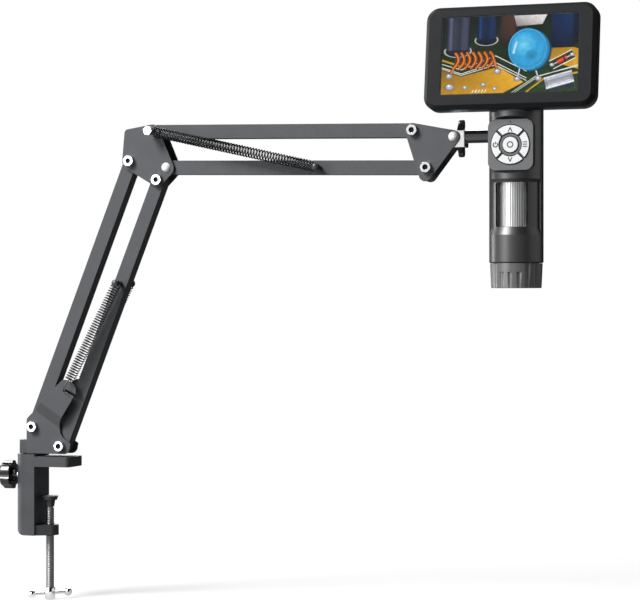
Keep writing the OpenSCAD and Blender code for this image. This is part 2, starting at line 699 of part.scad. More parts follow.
// Everything that the two shells share
module shell_solid() difference() {
  union() {
    translate([0, 0, 0.6]) cylinder(h = body_len - 0.6, r = body_r);
    cylinder(h = 0.6, r1 = body_r - 0.6, r2 = body_r);
    // squared shoulders behind the key panel
    translate([0, 0, panel_z]) along_y(-panel_back, -2) round_rect(panel_w, panel_h, panel_r);
  }
  // bores: above the wheel, round the wheel, below the wheel
  difference() {
    translate([0, 0, sensor_z]) cylinder(h = body_len - 1.8 - sensor_z, r = inner_r);
    // front wall behind the key panel
    translate([0, front_wall - panel_back - body_r, body_len - 20])
      cube([2 * body_d, 2 * body_r, 90], center = true);
  }
  translate([0, 0, wheel_low - 0.2]) cylinder(h = wheel_high - wheel_low + 0.4, r = waist_r);
  translate([0, 0, rim_t]) cylinder(h = wheel_low - 0.2 - shelf_t - rim_t, r = waist_r + 0.6);
  // light path and the nose's seat
  translate([0, 0, -1]) cylinder(h = wheel_low / 2, r = nose_r + 0.05);
  translate([0, 0, 1]) cylinder(h = sensor_z, r = light_r);
  // flat front behind the panel, run out in slopes above and below it
  translate([-body_d, 0, 0]) rotate([90, 0, 90]) linear_extrude(2 * body_d) polygon([
    [-panel_back, panel_z - panel_h / 2 - 0.2], [-body_d, panel_z - panel_h / 2 - 12],
    [-body_d, panel_z + panel_h / 2 + 12], [-panel_back, panel_z + panel_h / 2 + 0.2]]);
  // pocket behind the keys
  translate([0, 0, panel_z]) bar_y([0, 0], 2 * keys_out + 2.8, -body_d, -panel_back + 3);
  // finger recess, front and back
  for (a = [0, 180]) rotate([0, 0, a - 90 - recess_a]) rotate_extrude(angle = 2 * recess_a)
    polygon([[recess_r, recess_low + 6], [body_d, recess_low - 60], [body_d, recess_high + 25],
      [recess_r, recess_high - 3]]);
  // windows of the focus wheel
  translate([0, 0, window_z]) along_y(-body_d, body_d) round_rect(window_w, window_h, 1.7);
  // side port
  translate([0, port_y, port_z]) rotate([90, 0, 90]) linear_extrude(body_d)
    round_rect(port_t + 0.3, port_l + 0.3, port_t / 2 + 0.1);
  // threaded socket of the rod's stud
  translate([-body_d, 0, rod_up]) rotate([0, 90, 0]) cylinder(h = body_d, d = stud_d + 0.05);
}

// Screw bosses on the inside of the shells, between y0 and y1
module bosses(y0, y1) intersection() {
  for (x = [-boss_x, boss_x]) for (z = boss_zs) bar_y([x, z], boss_d, y0, y1);
  cylinder(h = body_len, r = inner_r + 0.4);
}

module front_shell() color("#2b2c2e") scope() difference() {
  union() {
    intersection() {
      shell_solid();
      translate([-body_d, -body_d + split_y, 0]) cube([2 * body_d, body_d, body_len]);
    }
    bosses(-boss_y, split_y);
  }
  for (x = [-boss_x, boss_x]) for (z = boss_zs) bar_y([x, z], boss_screw_d, -6, body_r);
}

module back_shell() color("#2b2c2e") scope() difference() {
  union() {
    intersection() {
      shell_solid();
      translate([-body_d, split_y, 0]) cube([2 * body_d, body_d, body_len]);
    }
    bosses(split_y, body_r);
  }
  for (x = [-boss_x, boss_x]) for (z = boss_zs) {
    bar_y([x, z], boss_screw_d + 0.4, 0, body_r);
    bar_y([x, z], 4.2, split_y + 4, body_r + 1);
  }
}

module shell_screws() color("#1a1a1a") scope() for (x = [-boss_x, boss_x]) for (z = boss_zs) difference() {
  union() {
    bar_y([x, z], boss_screw_d, -5, split_y + 4.5);
    dome([x, z], 3.8, 1.3, split_y + 4, 1);
  }
  hex_y([x, z], 1.3, split_y + 4.6, split_y + 7);
}

module lens_barrel() color("#1d1e20") scope() difference() {
  union() {
    translate([0, 0, window_z - barrel_l / 2]) cylinder(h = barrel_l, r = barrel_r - fit);
    translate([0, 0, nose_low + 8]) cylinder(h = window_z - barrel_l / 2 - nose_low - 8, r = lens_r + 2.5);
  }
  translate([0, 0, nose_low]) cylinder(h = body_len, r = lens_r);
}

module focus_wheel() color("silver") scope() difference() {
  translate([0, 0, wheel_low]) cylinder(h = wheel_high - wheel_low, r = wheel_r);
  translate([0, 0, wheel_low - 1]) cylinder(h = wheel_high - wheel_low + 2, r = barrel_r);
}

module nose_tube() color("#202123") scope() difference() {
  union() {
    translate([0, 0, nose_low]) cylinder(h = 2 * rim_t - nose_low, r = nose_r);
    translate([0, 0, rim_t]) cylinder(h = rim_t, r = waist_r + 0.5);
  }
  translate([0, 0, nose_low - 1]) cylinder(h = 30, r = nose_in);
}

module led_ring() color("#e8e8e2") scope() {
  translate([0, 0, nose_low + 1.4]) difference() {
    cylinder(h = 1.2, r = nose_in);
    translate([0, 0, -1]) cylinder(h = 4, r = nose_in - 5.6);
  }
  for (k = [0 : led_count - 1]) rotate(k * 360 / led_count) translate([led_circle_r, 0, nose_low + 0.4])
    cylinder(h = 1.05, d1 = 1.8, d2 = 2.6);
}

module distance_hood() color("#26272a") scope() difference() {
  translate([0, 0, ring_low + 0.9]) cylinder(h = ring_len - 1.4, r = hood_r);
  translate([0, 0, ring_low]) cylinder(h = ring_len, r = nose_r + fit);
}

module distance_ring() color("#2b2c2e") scope() translate([0, 0, ring_low]) difference() {
  cylinder(h = ring_len, r1 = ring_r - ring_taper, r2 = ring_r);
  translate([0, 0, 0.8]) cylinder(h = ring_len, r = hood_r + fit);
  translate([0, 0, -1]) cylinder(h = ring_len, r = nose_r + 0.2);
  // flutes, shorter under the plain patch at the front
  for (k = [0 : flutes - 1]) let(a = (k + 0.5) * 360 / flutes, front = abs(a - 270) < patch_a)
    rotate(a) translate([ring_r + 1.5, 0, -1]) cylinder(h = ring_len + (front ? -5 : 2), r = 2.6);
}

// ---- Keys ----

// One of the four ring keys, its middle towards +y of the sketch, grown by g
module ring_key(g) intersection() {
  difference() {
    circle(keys_out + g);
    circle(keys_in - g);
  }
  translate([0, 0.85 * sqrt(2) - g * sqrt(2)]) polygon([[0, 0], [20, 20], [-20, 20]]);
}

module key_panel() color("#7d7e80") scope() translate([0, 0, panel_z]) along_y(-panel_y, -panel_back)
  difference() {
    round_rect(panel_w, panel_h, panel_r);
    for (a = [0 : 90 : 270]) rotate(a) ring_key(key_gap);
    circle(ok_d / 2 + key_gap);
    translate([0, keys_out + 2]) circle(0.4);
  }

// A key: cap, flange under the panel and stem to the board
module key(stem) scope() translate([0, 0, panel_z]) {
  along_y(-panel_y - key_travel, -panel_back + 0.2) children(0);
  along_y(-panel_back + 0.1, -panel_back + 1.1) children(1);
  bar_y(stem, 3, -panel_back + 1, -board_y - key_travel - 0.1);
}

module arc_key(a) key([-sin(a) * 10.7, cos(a) * 10.7]) {
  rotate(a) ring_key(0);
  rotate(a) ring_key(0.5);
}

module key_up() color("#eeeff0") arc_key(0);
module key_power() color("#eeeff0") arc_key(90);
module key_down() color("#eeeff0") arc_key(180);
module key_menu() color("#eeeff0") arc_key(270);
module key_ok() color("#eeeff0") key([0, 0]) {
  circle(ok_d / 2);
  circle(ok_d / 2 + 0.5);
}

// ---- Electronics ----

module main_board() color("#1f5c3a") scope() along_y(-board_y, -board_y + board_t) {
  low = sensor_z + 1.7;
  high = body_len - 3;
  translate([0, (low + high) / 2]) square([board_w, high - low], center = true);
}

module sensor_board() color("#1f5c3a") scope() {
  translate([0, 0, sensor_z]) cylinder(h = 1.3, r = sensor_r);
  translate([-4, -4, sensor_z - 1.2]) cube([8, 8, 1.25]);
}

module battery() color("#b9bcc0") scope() translate([0, 0, sensor_z + 1.6])
  linear_extrude(cell_l) translate([0, 4.2]) round_rect(cell_w, 7, 2);

module usb_port() color("silver") scope() translate([body_r - 7.6, port_y, port_z]) rotate([90, 0, 90])
  linear_extrude(7) difference() {
    round_rect(port_t, port_l, port_t * 0.45);
    round_rect(port_t - 0.6, port_l - 0.6, port_t * 0.45 - 0.3);
  }

// ---- Display, drawn with the front face's middle at 0 and depth along +y ----

module display() translate([scope_x, -display_y, display_z]) rotate([-display_tilt, 0, 0]) children();

// Rounded slab from depth y0 to y1, its face at y0 bevelled by c, with true cones at the corners
module slab(w, h, r, c, y0, y1) {
  x = w / 2 - r;
  z = h / 2 - r;
  along_y(y0 + c, y1) round_rect(w, h, r);
  for (i = [-x, x]) for (j = [-z, z]) translate([i, y0, j]) rotate([-90, 0, 0])
    cylinder(h = c, r1 = r - c, r2 = r);
  translate([0, y0, 0]) {
    rotate([90, 0, 90]) translate([0, 0, -x]) linear_extrude(2 * x)
      polygon([[0, -h / 2 + c], [c, -h / 2], [c, h / 2], [0, h / 2 - c]]);
    translate([0, 0, -z]) linear_extrude(2 * z)
      polygon([[-w / 2 + c, 0], [w / 2 - c, 0], [w / 2, c], [-w / 2, c]]);
  }
}

module display_bezel() color("#2e2f31") display() difference() {
  slab(display_w, display_h, display_r, bevel, 0, bezel_t);
  translate([0, 0, screen_up]) {
    along_y(-1, 2) round_rect(screen_w + 1.2, screen_h + 1.2, 1);
    along_y(1.6, bezel_t + 1) round_rect(screen_w + 12, screen_h + 8.4, 2);
  }
}

module screen_glass() color("#14171c") display() translate([0, 0, screen_up])
  along_y(0.35, 1.55) round_rect(screen_w + 0.9, screen_h + 0.9, 0.9);

module lcd_panel() color("#30363c") display() translate([0, 0, screen_up])
  along_y(1.65, 4.8) round_rect(screen_w + 11.4, screen_h + 7.8, 1.5);

// Neck from the body up behind the display, its top sloping down to the back
module neck(r, top) difference() {
  translate([scope_x, 0, body_z + body_len - 1]) cylinder(h = display_h, r = r);
  translate([scope_x, -8, body_z + body_len + top]) rotate([-40, 0, 0])
    translate([-display_w, -display_w, 0]) cube(2 * display_w);
}

module display_back() color("#2b2c2e") difference() {
  union() {
    display() mirror([0, 1, 0]) slab(display_w, display_h, display_r, 2, -display_t, -bezel_t);
    neck(body_r, neck_h);
  }
  // hollow of the neck and of the cover
  neck(inner_r, neck_h - 3);
  display() along_y(bezel_t - 1, display_t - 2) round_rect(display_w - 5, display_h - 5, display_r - 2.5);
  // seats on the body and on the bezel
  translate([scope_x, 0, body_z + body_len - 10]) cube([2 * body_d, 2 * body_d, 20], center = true);
  display() translate([-display_w, bezel_t - 2 * display_w, -display_w]) cube(2 * display_w);
}

clamp_body();
thumb_screw();
thumb_knob();
clamp_screw();
screw_pad();
tommy_bar();
pivot_washer();
swivel_post();
base_plate_near();
base_plate_far();
base_bolts();
base_nuts();
lower_rear_tube();
lower_front_tube();
lower_spring_pin();
lower_spring_near();
lower_spring_far();
elbow_plate_near();
elbow_plate_far();
elbow_bolts();
elbow_nuts();
spring_bolt();
elbow_lock_bolt();
elbow_wing_nut();
upper_top_tube();
upper_bottom_tube();
upper_spring_pin();
upper_spring_near();
upper_spring_far();
end_plate_near();
end_plate_far();
end_bolts();
end_nuts();
tilt_bolt();
tilt_wing_nut();
swivel_block();
mount_rod();
front_shell();
back_shell();
shell_screws();
key_panel();
key_up();
key_down();
key_power();
key_menu();
key_ok();
focus_wheel();
lens_barrel();
nose_tube();
led_ring();
distance_hood();
distance_ring();
display_bezel();
screen_glass();
lcd_panel();
display_back();
main_board();
sensor_board();
battery();
usb_port();
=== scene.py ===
"""Handheld display microscope on a desk-clamped spring arm: materials and fine pieces on the CAD frame."""
import json
import math
import bpy
from mathutils import Matrix, Vector


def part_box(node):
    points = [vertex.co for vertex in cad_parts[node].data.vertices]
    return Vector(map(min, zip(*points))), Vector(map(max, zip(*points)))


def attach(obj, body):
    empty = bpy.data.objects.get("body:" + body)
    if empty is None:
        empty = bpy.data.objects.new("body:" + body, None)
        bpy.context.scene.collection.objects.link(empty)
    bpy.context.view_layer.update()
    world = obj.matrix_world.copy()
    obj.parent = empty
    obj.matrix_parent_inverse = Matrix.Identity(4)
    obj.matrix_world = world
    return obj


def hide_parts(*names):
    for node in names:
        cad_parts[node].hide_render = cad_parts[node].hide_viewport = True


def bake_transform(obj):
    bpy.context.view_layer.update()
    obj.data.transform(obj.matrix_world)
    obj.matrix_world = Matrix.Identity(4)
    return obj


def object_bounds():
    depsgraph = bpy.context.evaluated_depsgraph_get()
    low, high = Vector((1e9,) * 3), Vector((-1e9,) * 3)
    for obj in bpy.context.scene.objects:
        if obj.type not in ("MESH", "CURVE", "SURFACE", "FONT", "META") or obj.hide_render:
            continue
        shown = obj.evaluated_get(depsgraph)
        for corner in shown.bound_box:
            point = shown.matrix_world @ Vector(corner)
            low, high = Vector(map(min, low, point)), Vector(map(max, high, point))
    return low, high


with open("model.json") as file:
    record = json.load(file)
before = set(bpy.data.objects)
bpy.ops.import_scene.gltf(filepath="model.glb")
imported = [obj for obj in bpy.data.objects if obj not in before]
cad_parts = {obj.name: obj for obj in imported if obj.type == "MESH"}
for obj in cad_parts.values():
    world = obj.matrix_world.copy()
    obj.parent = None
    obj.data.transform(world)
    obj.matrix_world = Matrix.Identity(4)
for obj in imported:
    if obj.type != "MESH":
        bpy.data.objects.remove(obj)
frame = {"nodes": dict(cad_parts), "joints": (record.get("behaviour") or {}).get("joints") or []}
START_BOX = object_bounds()

MM = 0.001
NODES = frame["nodes"]
PIVOT = {j["name"]: Vector(j["pos_m"]) for j in frame["joints"] if "pos_m" in j}


# ---- Mesh helpers ----

def mesh_object(name, vertices, faces, material, smooth_angle=35):
    """A new object from vertices in metres; edges sharper than smooth_angle degrees stay sharp."""
    mesh = bpy.data.meshes.new(name)
    mesh.from_pydata([tuple(v) for v in vertices], [], faces)
    mesh.validate()
    mesh.shade_smooth()
    mesh.set_sharp_from_angle(angle=math.radians(smooth_angle))
    mesh.materials.append(material)
    obj = bpy.data.objects.new(name, mesh)
    bpy.context.scene.collection.objects.link(obj)
    return obj


def join(name, parts, materials, smooth_angle=35):
    """One object from (vertices, faces, material index) parts."""
    vertices, faces, index = [], [], []
    for part_vertices, part_faces, slot in parts:
        base = len(vertices)
        vertices += list(part_vertices)
        faces += [[i + base for i in face] for face in part_faces]
        index += [slot] * len(part_faces)
    obj = mesh_object(name, vertices, faces, materials[0], smooth_angle)
    for material in materials[1:]:
        obj.data.materials.append(material)
    obj.data.polygons.foreach_set("material_index", index)
    return obj


def grid_faces(rows, columns, wrap_rows=False, wrap_columns=True):
    """Quads of a grid of points numbered row by row."""
    faces = []
    for i in range(rows if wrap_rows else rows - 1):
        for j in range(columns if wrap_columns else columns - 1):
            a, b = i * columns + j, i * columns + (j + 1) % columns
            c, d = ((i + 1) % rows) * columns + (j + 1) % columns, ((i + 1) % rows) * columns + j
            faces.append([a, b, c, d])
    return faces


def lathe(profile, segments, place):
    """Turns [radius, height] points round z; a radius of 0 closes an end. place maps a point to the frame."""
    vertices, rings = [], []
    for radius, height in profile:
        if radius < 1e-9:
            rings.append([len(vertices)])
            vertices.append(place @ Vector((0, 0, height)))
            continue
        ring = []
        for k in range(segments):
            angle = 2 * math.pi * k / segments
            ring.append(len(vertices))
            vertices.append(place @ Vector((radius * math.cos(angle), radius * math.sin(angle), height)))
        rings.append(ring)
    faces = []
    for low, high in zip(rings, rings[1:]):
        for k in range(segments):
            m = (k + 1) % segments
            if len(low) == 1:
                faces.append([low[0], high[m], high[k]])
            elif len(high) == 1:
                faces.append([low[k], low[m], high[0]])
            else:
                faces.append([low[k], low[m], high[m], high[k]])
    return vertices, faces


def sweep(points, radius, sides):
    """A round wire along points, with domed ends."""
    count = len(points)
    tangents = [(points[min(i + 1, count - 1)] - points[max(i - 1, 0)]).normalized() for i in range(count)]
    side = tangents[0].orthogonal().normalized()
    vertices = []
    for point, tangent in zip(points, tangents):
        side = (side - tangent * side.dot(tangent)).normalized()
        across = tangent.cross(side)
        for k in range(sides):
            angle = 2 * math.pi * k / sides
            vertices.append(point + (side * math.cos(angle) + across * math.sin(angle)) * radius)
    faces = grid_faces(count, sides)
    for end, ring in ((points[0] - tangents[0] * radius * 0.5, list(range(sides))[::-1]),
                      (points[-1] + tangents[-1] * radius * 0.5,
                       list(range((count - 1) * sides, count * sides)))):
        tip = len(vertices)
        vertices.append(end)
        faces += [[ring[k], ring[(k + 1) % sides], tip] for k in range(sides)]
    return vertices, faces


def ease(points, first, last, rounds):
    """Rounds the kinks of a polyline between two of its indices."""
    points = [p.copy() for p in points]
    for _ in range(rounds):
        new = list(points)
        for i in range(max(first, 1), min(last, len(points) - 1)):
            new[i] = points[i] * 0.5 + (points[i - 1] + points[i + 1]) * 0.25
        points = new
    return points


# ---- Materials ----

def node_material(name):
    """A new node material, with its nodes, links, main shader and texture coordinates."""
    material = bpy.data.materials.new(name)
    material.use_nodes = True
    nodes = material.node_tree.nodes
    shader = nodes["Principled BSDF"]
    place = nodes.new("ShaderNodeTexCoord")
    return material, nodes, material.node_tree.links, shader, place


def add_noise(nodes, links, place, scale, detail=4.0, stretch=(1, 1, 1)):
    """Noise in the object's own space; stretch squeezes it along an axis."""
    mapping = nodes.new("ShaderNodeMapping")
    mapping.inputs["Scale"].default_value = stretch
    links.new(place.outputs["Object"], mapping.inputs["Vector"])
    noise = nodes.new("ShaderNodeTexNoise")
    noise.inputs["Scale"].default_value = scale
    noise.inputs["Detail"].default_value = detail
    links.new(mapping.outputs["Vector"], noise.inputs["Vector"])
    return noise


def map_range(nodes, links, source, reach, level, curve="LINEAR"):
    """Maps source from reach onto level, each a low and a high value."""
    ramp = nodes.new("ShaderNodeMapRange")
    ramp.interpolation_type = curve
    ramp.inputs["From Min"].default_value, ramp.inputs["From Max"].default_value = reach
    ramp.inputs["To Min"].default_value, ramp.inputs["To Max"].default_value = level
    links.new(source, ramp.inputs["Value"])
    return ramp.outputs["Result"]


def spread(nodes, links, noise, low, high):
    """Maps noise, which keeps to about 0.3 to 0.7, onto low to high."""
    return map_range(nodes, links, noise.outputs["Fac"], (0.3, 0.7), (low, high))


def two_tone(nodes, links, amount, first, second):
    """A mix of two colours: first where amount is 0, second where it is 1."""
    mix = nodes.new("ShaderNodeMix")
    mix.data_type = "RGBA"
    mix.inputs["A"].default_value, mix.inputs["B"].default_value = first, second
    links.new(amount, mix.inputs["Factor"])
    return mix.outputs["Result"]


def finish_material(name, colour, rough, metal=0.0, specular=0.5, coat=0.0, coat_rough=0.1, grain=2500,
                    grain_height=0.01, tone=0.08, tone_scale=60, rough_spread=0.06, stretch=(1, 1, 1)):
    """A moulded, painted or metal surface: tone and gloss drift over it, and a fine grain breaks its highlights."""
    material, nodes, links, shader, place = node_material(name)
    shader.inputs["Metallic"].default_value = metal
    shader.inputs["Specular IOR Level"].default_value = specular
    shader.inputs["Coat Weight"].default_value = coat
    shader.inputs["Coat Roughness"].default_value = coat_rough
    drift = add_noise(nodes, links, place, tone_scale, stretch=stretch)
    dark, light = [c * (1 - tone) for c in colour] + [1], [min(1, c * (1 + tone)) for c in colour] + [1]
    links.new(two_tone(nodes, links, spread(nodes, links, drift, 0, 1), dark, light), shader.inputs["Base Color"])
    worn = add_noise(nodes, links, place, tone_scale * 7, stretch=stretch)
    links.new(spread(nodes, links, worn, max(0.02, rough - rough_spread), rough + rough_spread),
              shader.inputs["Roughness"])
    fine = add_noise(nodes, links, place, grain, detail=2.0, stretch=stretch)
    bump = nodes.new("ShaderNodeBump")
    bump.inputs["Strength"].default_value = 0.35
    bump.inputs["Distance"].default_value = grain_height * MM
    links.new(fine.outputs["Fac"], bump.inputs["Height"])
    links.new(bump.outputs["Normal"], shader.inputs["Normal"])
    return material


POWDER = finish_material("powder_coat_grey", (0.082, 0.085, 0.090), 0.48, specular=0.1, grain=1800,
                         grain_height=0.02, tone=0.05)
CAST = finish_material("cast_enamel", (0.045, 0.048, 0.052), 0.4, specular=0.3, grain=700, grain_height=0.05,
                       tone=0.15)
ZINC = finish_material("zinc_plate", (0.92, 0.92, 0.93), 0.13, metal=1.0, grain=1500, grain_height=0.004,
                       tone=0.04, rough_spread=0.05)
STEEL = finish_material("screw_steel", (0.20, 0.204, 0.21), 0.42, metal=1.0, grain=900, grain_height=0.006,
                        tone=0.08)
SATIN = finish_material("satin_nickel", (0.88, 0.88, 0.89), 0.36, metal=0.2, grain=1500, grain_height=0.004,
                        tone=0.02, rough_spread=0.04)
CHROME = finish_material("chrome_head", (0.88, 0.88, 0.89), 0.08, metal=1.0, grain=500, grain_height=0.002,
                         tone=0.02, rough_spread=0.03)
WIRE = finish_material("spring_wire", (0.055, 0.056, 0.058), 0.2, metal=1.0, grain=1200, grain_height=0.004,
                       tone=0.12, tone_scale=120)
PIN = finish_material("pin_black", (0.03, 0.03, 0.032), 0.30, specular=0.5, grain=1500)
GLOSS = finish_material("wing_moulding", (0.008, 0.008, 0.009), 0.2, specular=0.5, grain=600,
                        grain_height=0.01)
SHELL = finish_material("shell_moulding", (0.014, 0.0142, 0.015), 0.36, specular=0.9, grain=2600,
                        grain_height=0.003, tone=0.04, rough_spread=0.015)
BEZEL = finish_material("bezel_moulding", (0.019, 0.020, 0.021), 0.34, specular=0.06, grain=2600,
                        grain_height=0.005, tone=0.05)
RING = finish_material("ring_moulding", (0.085, 0.086, 0.088), 0.30, specular=1.0, grain=2400,
                       grain_height=0.003, tone=0.04, rough_spread=0.015)
ROD = finish_material("rod_lacquer", (0.012, 0.012, 0.013), 0.12, specular=0.5, coat=1.0, coat_rough=0.05,
                      grain=400, grain_height=0.003)
PANEL = finish_material("panel_moulding", (0.140, 0.143, 0.147), 0.5, specular=0.12, grain=2600,
                        grain_height=0.01, tone=0.04)
KEYS = finish_material("key_moulding", (0.70, 0.705, 0.71), 0.42, specular=0.12, grain=2400,
                       grain_height=0.008, tone=0.02)
GLYPH = finish_material("key_print", (0.018, 0.018, 0.020), 0.5, specular=0.2, tone=0.05)
# painted shade: black for the shade in the gaps round the keys
GAP_SHADE = finish_material("key_gap_shade", (0.004, 0.004, 0.004), 0.7, specular=0.1, tone=0.1)
# black of the nylon lock rings, and painted shade on the disc over each bolt end in the hole
NYLON_AND_HOLE_SHADE = finish_material("lock_ring_and_hole_shade", (0.008, 0.008, 0.009), 0.5, specular=0.08, tone=0.1)
WHEEL = finish_material("wheel_aluminium", (0.95, 0.955, 0.96), 0.36, metal=1.0, grain=900,
                        grain_height=0.003, tone=0.05, tone_scale=40, stretch=(6, 6, 0.4))
# painted shade: a darker copy of the wheel's aluminium, for the shade in its grooves
GROOVE_SHADE = finish_material("wheel_groove_shade", (0.30, 0.303, 0.308), 0.4, metal=1.0, grain=900,
                         grain_height=0.003, tone=0.12, tone_scale=40, stretch=(6, 6, 0.4))
BOARD = finish_material("board_mask", (0.02, 0.13, 0.06), 0.35, tone=0.2)
CELL = finish_material("cell_foil", (0.62, 0.64, 0.66), 0.28, metal=1.0, tone=0.05)
LED = finish_material("led_white", (0.82, 0.82, 0.78), 0.4, tone=0.03)
LCD = finish_material("lcd_module", (0.008, 0.009, 0.011), 0.25, tone=0.1)


def glass_material():
    """Clear cover glass: nearly all light passes, with a faint gloss."""
    material, nodes, links, shader, place = node_material("cover_glass")
    shader.inputs["Base Color"].default_value = (0.98, 0.985, 0.99, 1)
    shader.inputs["Transmission Weight"].default_value = 1.0
    shader.inputs["IOR"].default_value = 1.12
    smear = add_noise(nodes, links, place, 35)
    links.new(spread(nodes, links, smear, 0.01, 0.05), shader.inputs["Roughness"])
    return material


GLASS = glass_material()

NODE_FINISH = {
    POWDER: ["base_plate_near", "base_plate_far", "elbow_plate_near", "elbow_plate_far", "end_plate_near",
             "end_plate_far", "lower_rear_tube", "lower_front_tube", "upper_top_tube", "upper_bottom_tube"],
    CAST: ["clamp_body", "swivel_post", "screw_pad"],
    ZINC: ["thumb_screw", "base_bolts", "base_nuts", "elbow_bolts", "elbow_nuts", "spring_bolt",
           "end_bolts", "end_nuts", "swivel_block", "usb_port"],
    SATIN: ["elbow_lock_bolt", "tilt_bolt"],
    CHROME: ["tommy_bar"],
    GLOSS: ["thumb_knob", "elbow_wing_nut", "tilt_wing_nut", "pivot_washer"],
    SHELL: ["front_shell", "back_shell", "display_back", "nose_tube", "distance_hood"],
    PIN: ["lower_spring_pin", "upper_spring_pin", "shell_screws", "lens_barrel"],
    BEZEL: ["display_bezel"],
    RING: ["distance_ring"],
    ROD: ["mount_rod"],
    PANEL: ["key_panel"],
    KEYS: ["key_up", "key_down", "key_power", "key_menu", "key_ok"],
    BOARD: ["main_board", "sensor_board"],
    CELL: ["battery"],
    LED: ["led_ring"],
    LCD: ["lcd_panel"],
    GLASS: ["screen_glass"],
}


def dress(node, material):
    """Puts material in every slot of a CAD node."""
    slots = NODES[node].material_slots
    if not slots:
        NODES[node].data.materials.append(material)
    for slot in slots:
        slot.material = material


for finish, names in NODE_FINISH.items():
    for name in names:
        dress(name, finish)


# ---- Softened edges on the CAD nodes ----

# a bent sheet's bends turn less from facet to facet than a part's corners do
BEND_ANGLE, CORNER_ANGLE = 14, 32


def soften(node, width, segments, angle):
    """Rounds a node's edges by width millimetres, as a press, a mould or a coat of paint leaves them."""
    obj = NODES[node]
    weld = obj.modifiers.new("weld", "WELD")
    weld.merge_threshold = 1e-6
    flat = obj.modifiers.new("flat", "DECIMATE")
    flat.decimate_type = "DISSOLVE"
    flat.angle_limit = math.radians(0.6)
    bevel = obj.modifiers.new("edges", "BEVEL")
    bevel.width = width * MM
    bevel.segments = segments
    bevel.limit_method = "ANGLE"
    bevel.angle_limit = math.radians(angle)
    bevel.use_clamp_overlap = True
    even = obj.modifiers.new("shading", "WEIGHTED_NORMAL")
    even.keep_sharp = False


EDGE_MM = {
    0.25: ["base_plate_near", "base_plate_far", "elbow_plate_near", "elbow_plate_far", "end_plate_near",
           "end_plate_far"],
    0.6: ["lower_rear_tube", "lower_front_tube", "upper_top_tube", "upper_bottom_tube", "clamp_body"],
    0.3: ["swivel_block", "swivel_post", "key_panel", "display_bezel", "display_back"],
    0.15: ["key_up", "key_down", "key_power", "key_menu", "key_ok", "base_nuts", "elbow_nuts", "end_nuts",
           "spring_bolt", "distance_ring"],
    0.8: ["thumb_knob"],
}
for width, names in EDGE_MM.items():
    for name in names:
        bent = name in NODE_FINISH[POWDER]
        soften(name, width, 2 if width < 0.8 else 5, BEND_ANGLE if bent else CORNER_ANGLE)


def mould_round(node, voxel, rounds):
    """Rounds a small moulded part all over, as its mould does."""
    obj = NODES[node]
    obj.modifiers.new("weld", "WELD").merge_threshold = 1e-6
    cells = obj.modifiers.new("cells", "REMESH")
    cells.mode = "VOXEL"
    cells.voxel_size = voxel * MM
    cells.use_smooth_shade = True
    smooth = obj.modifiers.new("round", "SMOOTH")
    smooth.factor = 0.5
    smooth.iterations = rounds


WING_VOXEL_MM, WING_ROUNDS = ((0.35, 24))
for name in ("elbow_wing_nut", "tilt_wing_nut"):
    mould_round(name, WING_VOXEL_MM, WING_ROUNDS)


# ---- Springs ----

WIRE_R = 0.42 * MM
HOOK_SIDE = 2.8 * MM
COIL_R = 3.45 * MM
TURN_POINTS = 22
WIRE_SIDES = 10
# degrees round an end loop's centre: where a hook's cut end and its way back stand, and a loop's start and sweep
HOOK_TIP, HOOK_BACK = 100, 75
LOW_LOOP, HIGH_LOOP = (100, 350), (-90, 345)
EASE_ROUNDS = 3


def spring_line(length, turns, low_r, high_r, hook):
    """The wire's centre line along z: an end loop round y, half a turn out to the coil, the coil, and back.
    With hook, the lower end is a drawn-out loop of the coil's own width, across y, that goes through the plate."""
    steps = TURN_POINTS
    start = HOOK_SIDE + COIL_R if hook else low_r
    stop = length - high_r
    points = []
    if hook:
        for k in range(steps // 2 + 1):
            angle = math.radians(HOOK_TIP - HOOK_TIP * k / (steps // 2))
            points.append(Vector((0, COIL_R * math.cos(angle), HOOK_SIDE + COIL_R * math.sin(angle))))
        for k in range(steps + 1):
            angle = -math.pi * k / steps
            points.append(Vector((0, COIL_R * math.cos(angle), COIL_R * math.sin(angle))))
        for k in range(steps // 2):
            angle = math.radians(180 - HOOK_BACK * k / (steps // 2))
            points.append(Vector((0, COIL_R * math.cos(angle), HOOK_SIDE + COIL_R * math.sin(angle))))
    else:
        for k in range(steps):
            angle = math.radians(LOW_LOOP[0] + LOW_LOOP[1] * k / steps)
            points.append(Vector((low_r * math.cos(angle), 0, low_r * math.sin(angle))))
    first_kink = len(points)
    for k in range(steps // 2 + 1):
        angle = -math.pi / 2 + math.pi * k / (steps // 2)
        points.append(Vector((-COIL_R / 2 * math.cos(angle), COIL_R / 2 * (1 + math.sin(angle)), start)))
    count = turns * steps
    for k in range(1, count):
        angle = math.pi / 2 + 2 * math.pi * k / steps
        height = start + (stop - start) * k / count
        points.append(Vector((COIL_R * math.cos(angle), COIL_R * math.sin(angle), height)))
    last_kink = len(points)
    for k in range(steps // 2 + 1):
        angle = math.pi / 2 + math.pi * k / (steps // 2)
        points.append(Vector((COIL_R / 2 * math.cos(angle), COIL_R / 2 * (1 + math.sin(angle)), stop)))
    for k in range(steps):
        angle = math.radians(HIGH_LOOP[0] + HIGH_LOOP[1] * k / steps)
        points.append(Vector((high_r * math.cos(angle), 0, length + high_r * math.sin(angle))))
    points = ease(points, first_kink - 2, first_kink + 3, EASE_ROUNDS)
    last_kink += steps // 2
    return ease(points, last_kink - 2, last_kink + 4, EASE_ROUNDS)


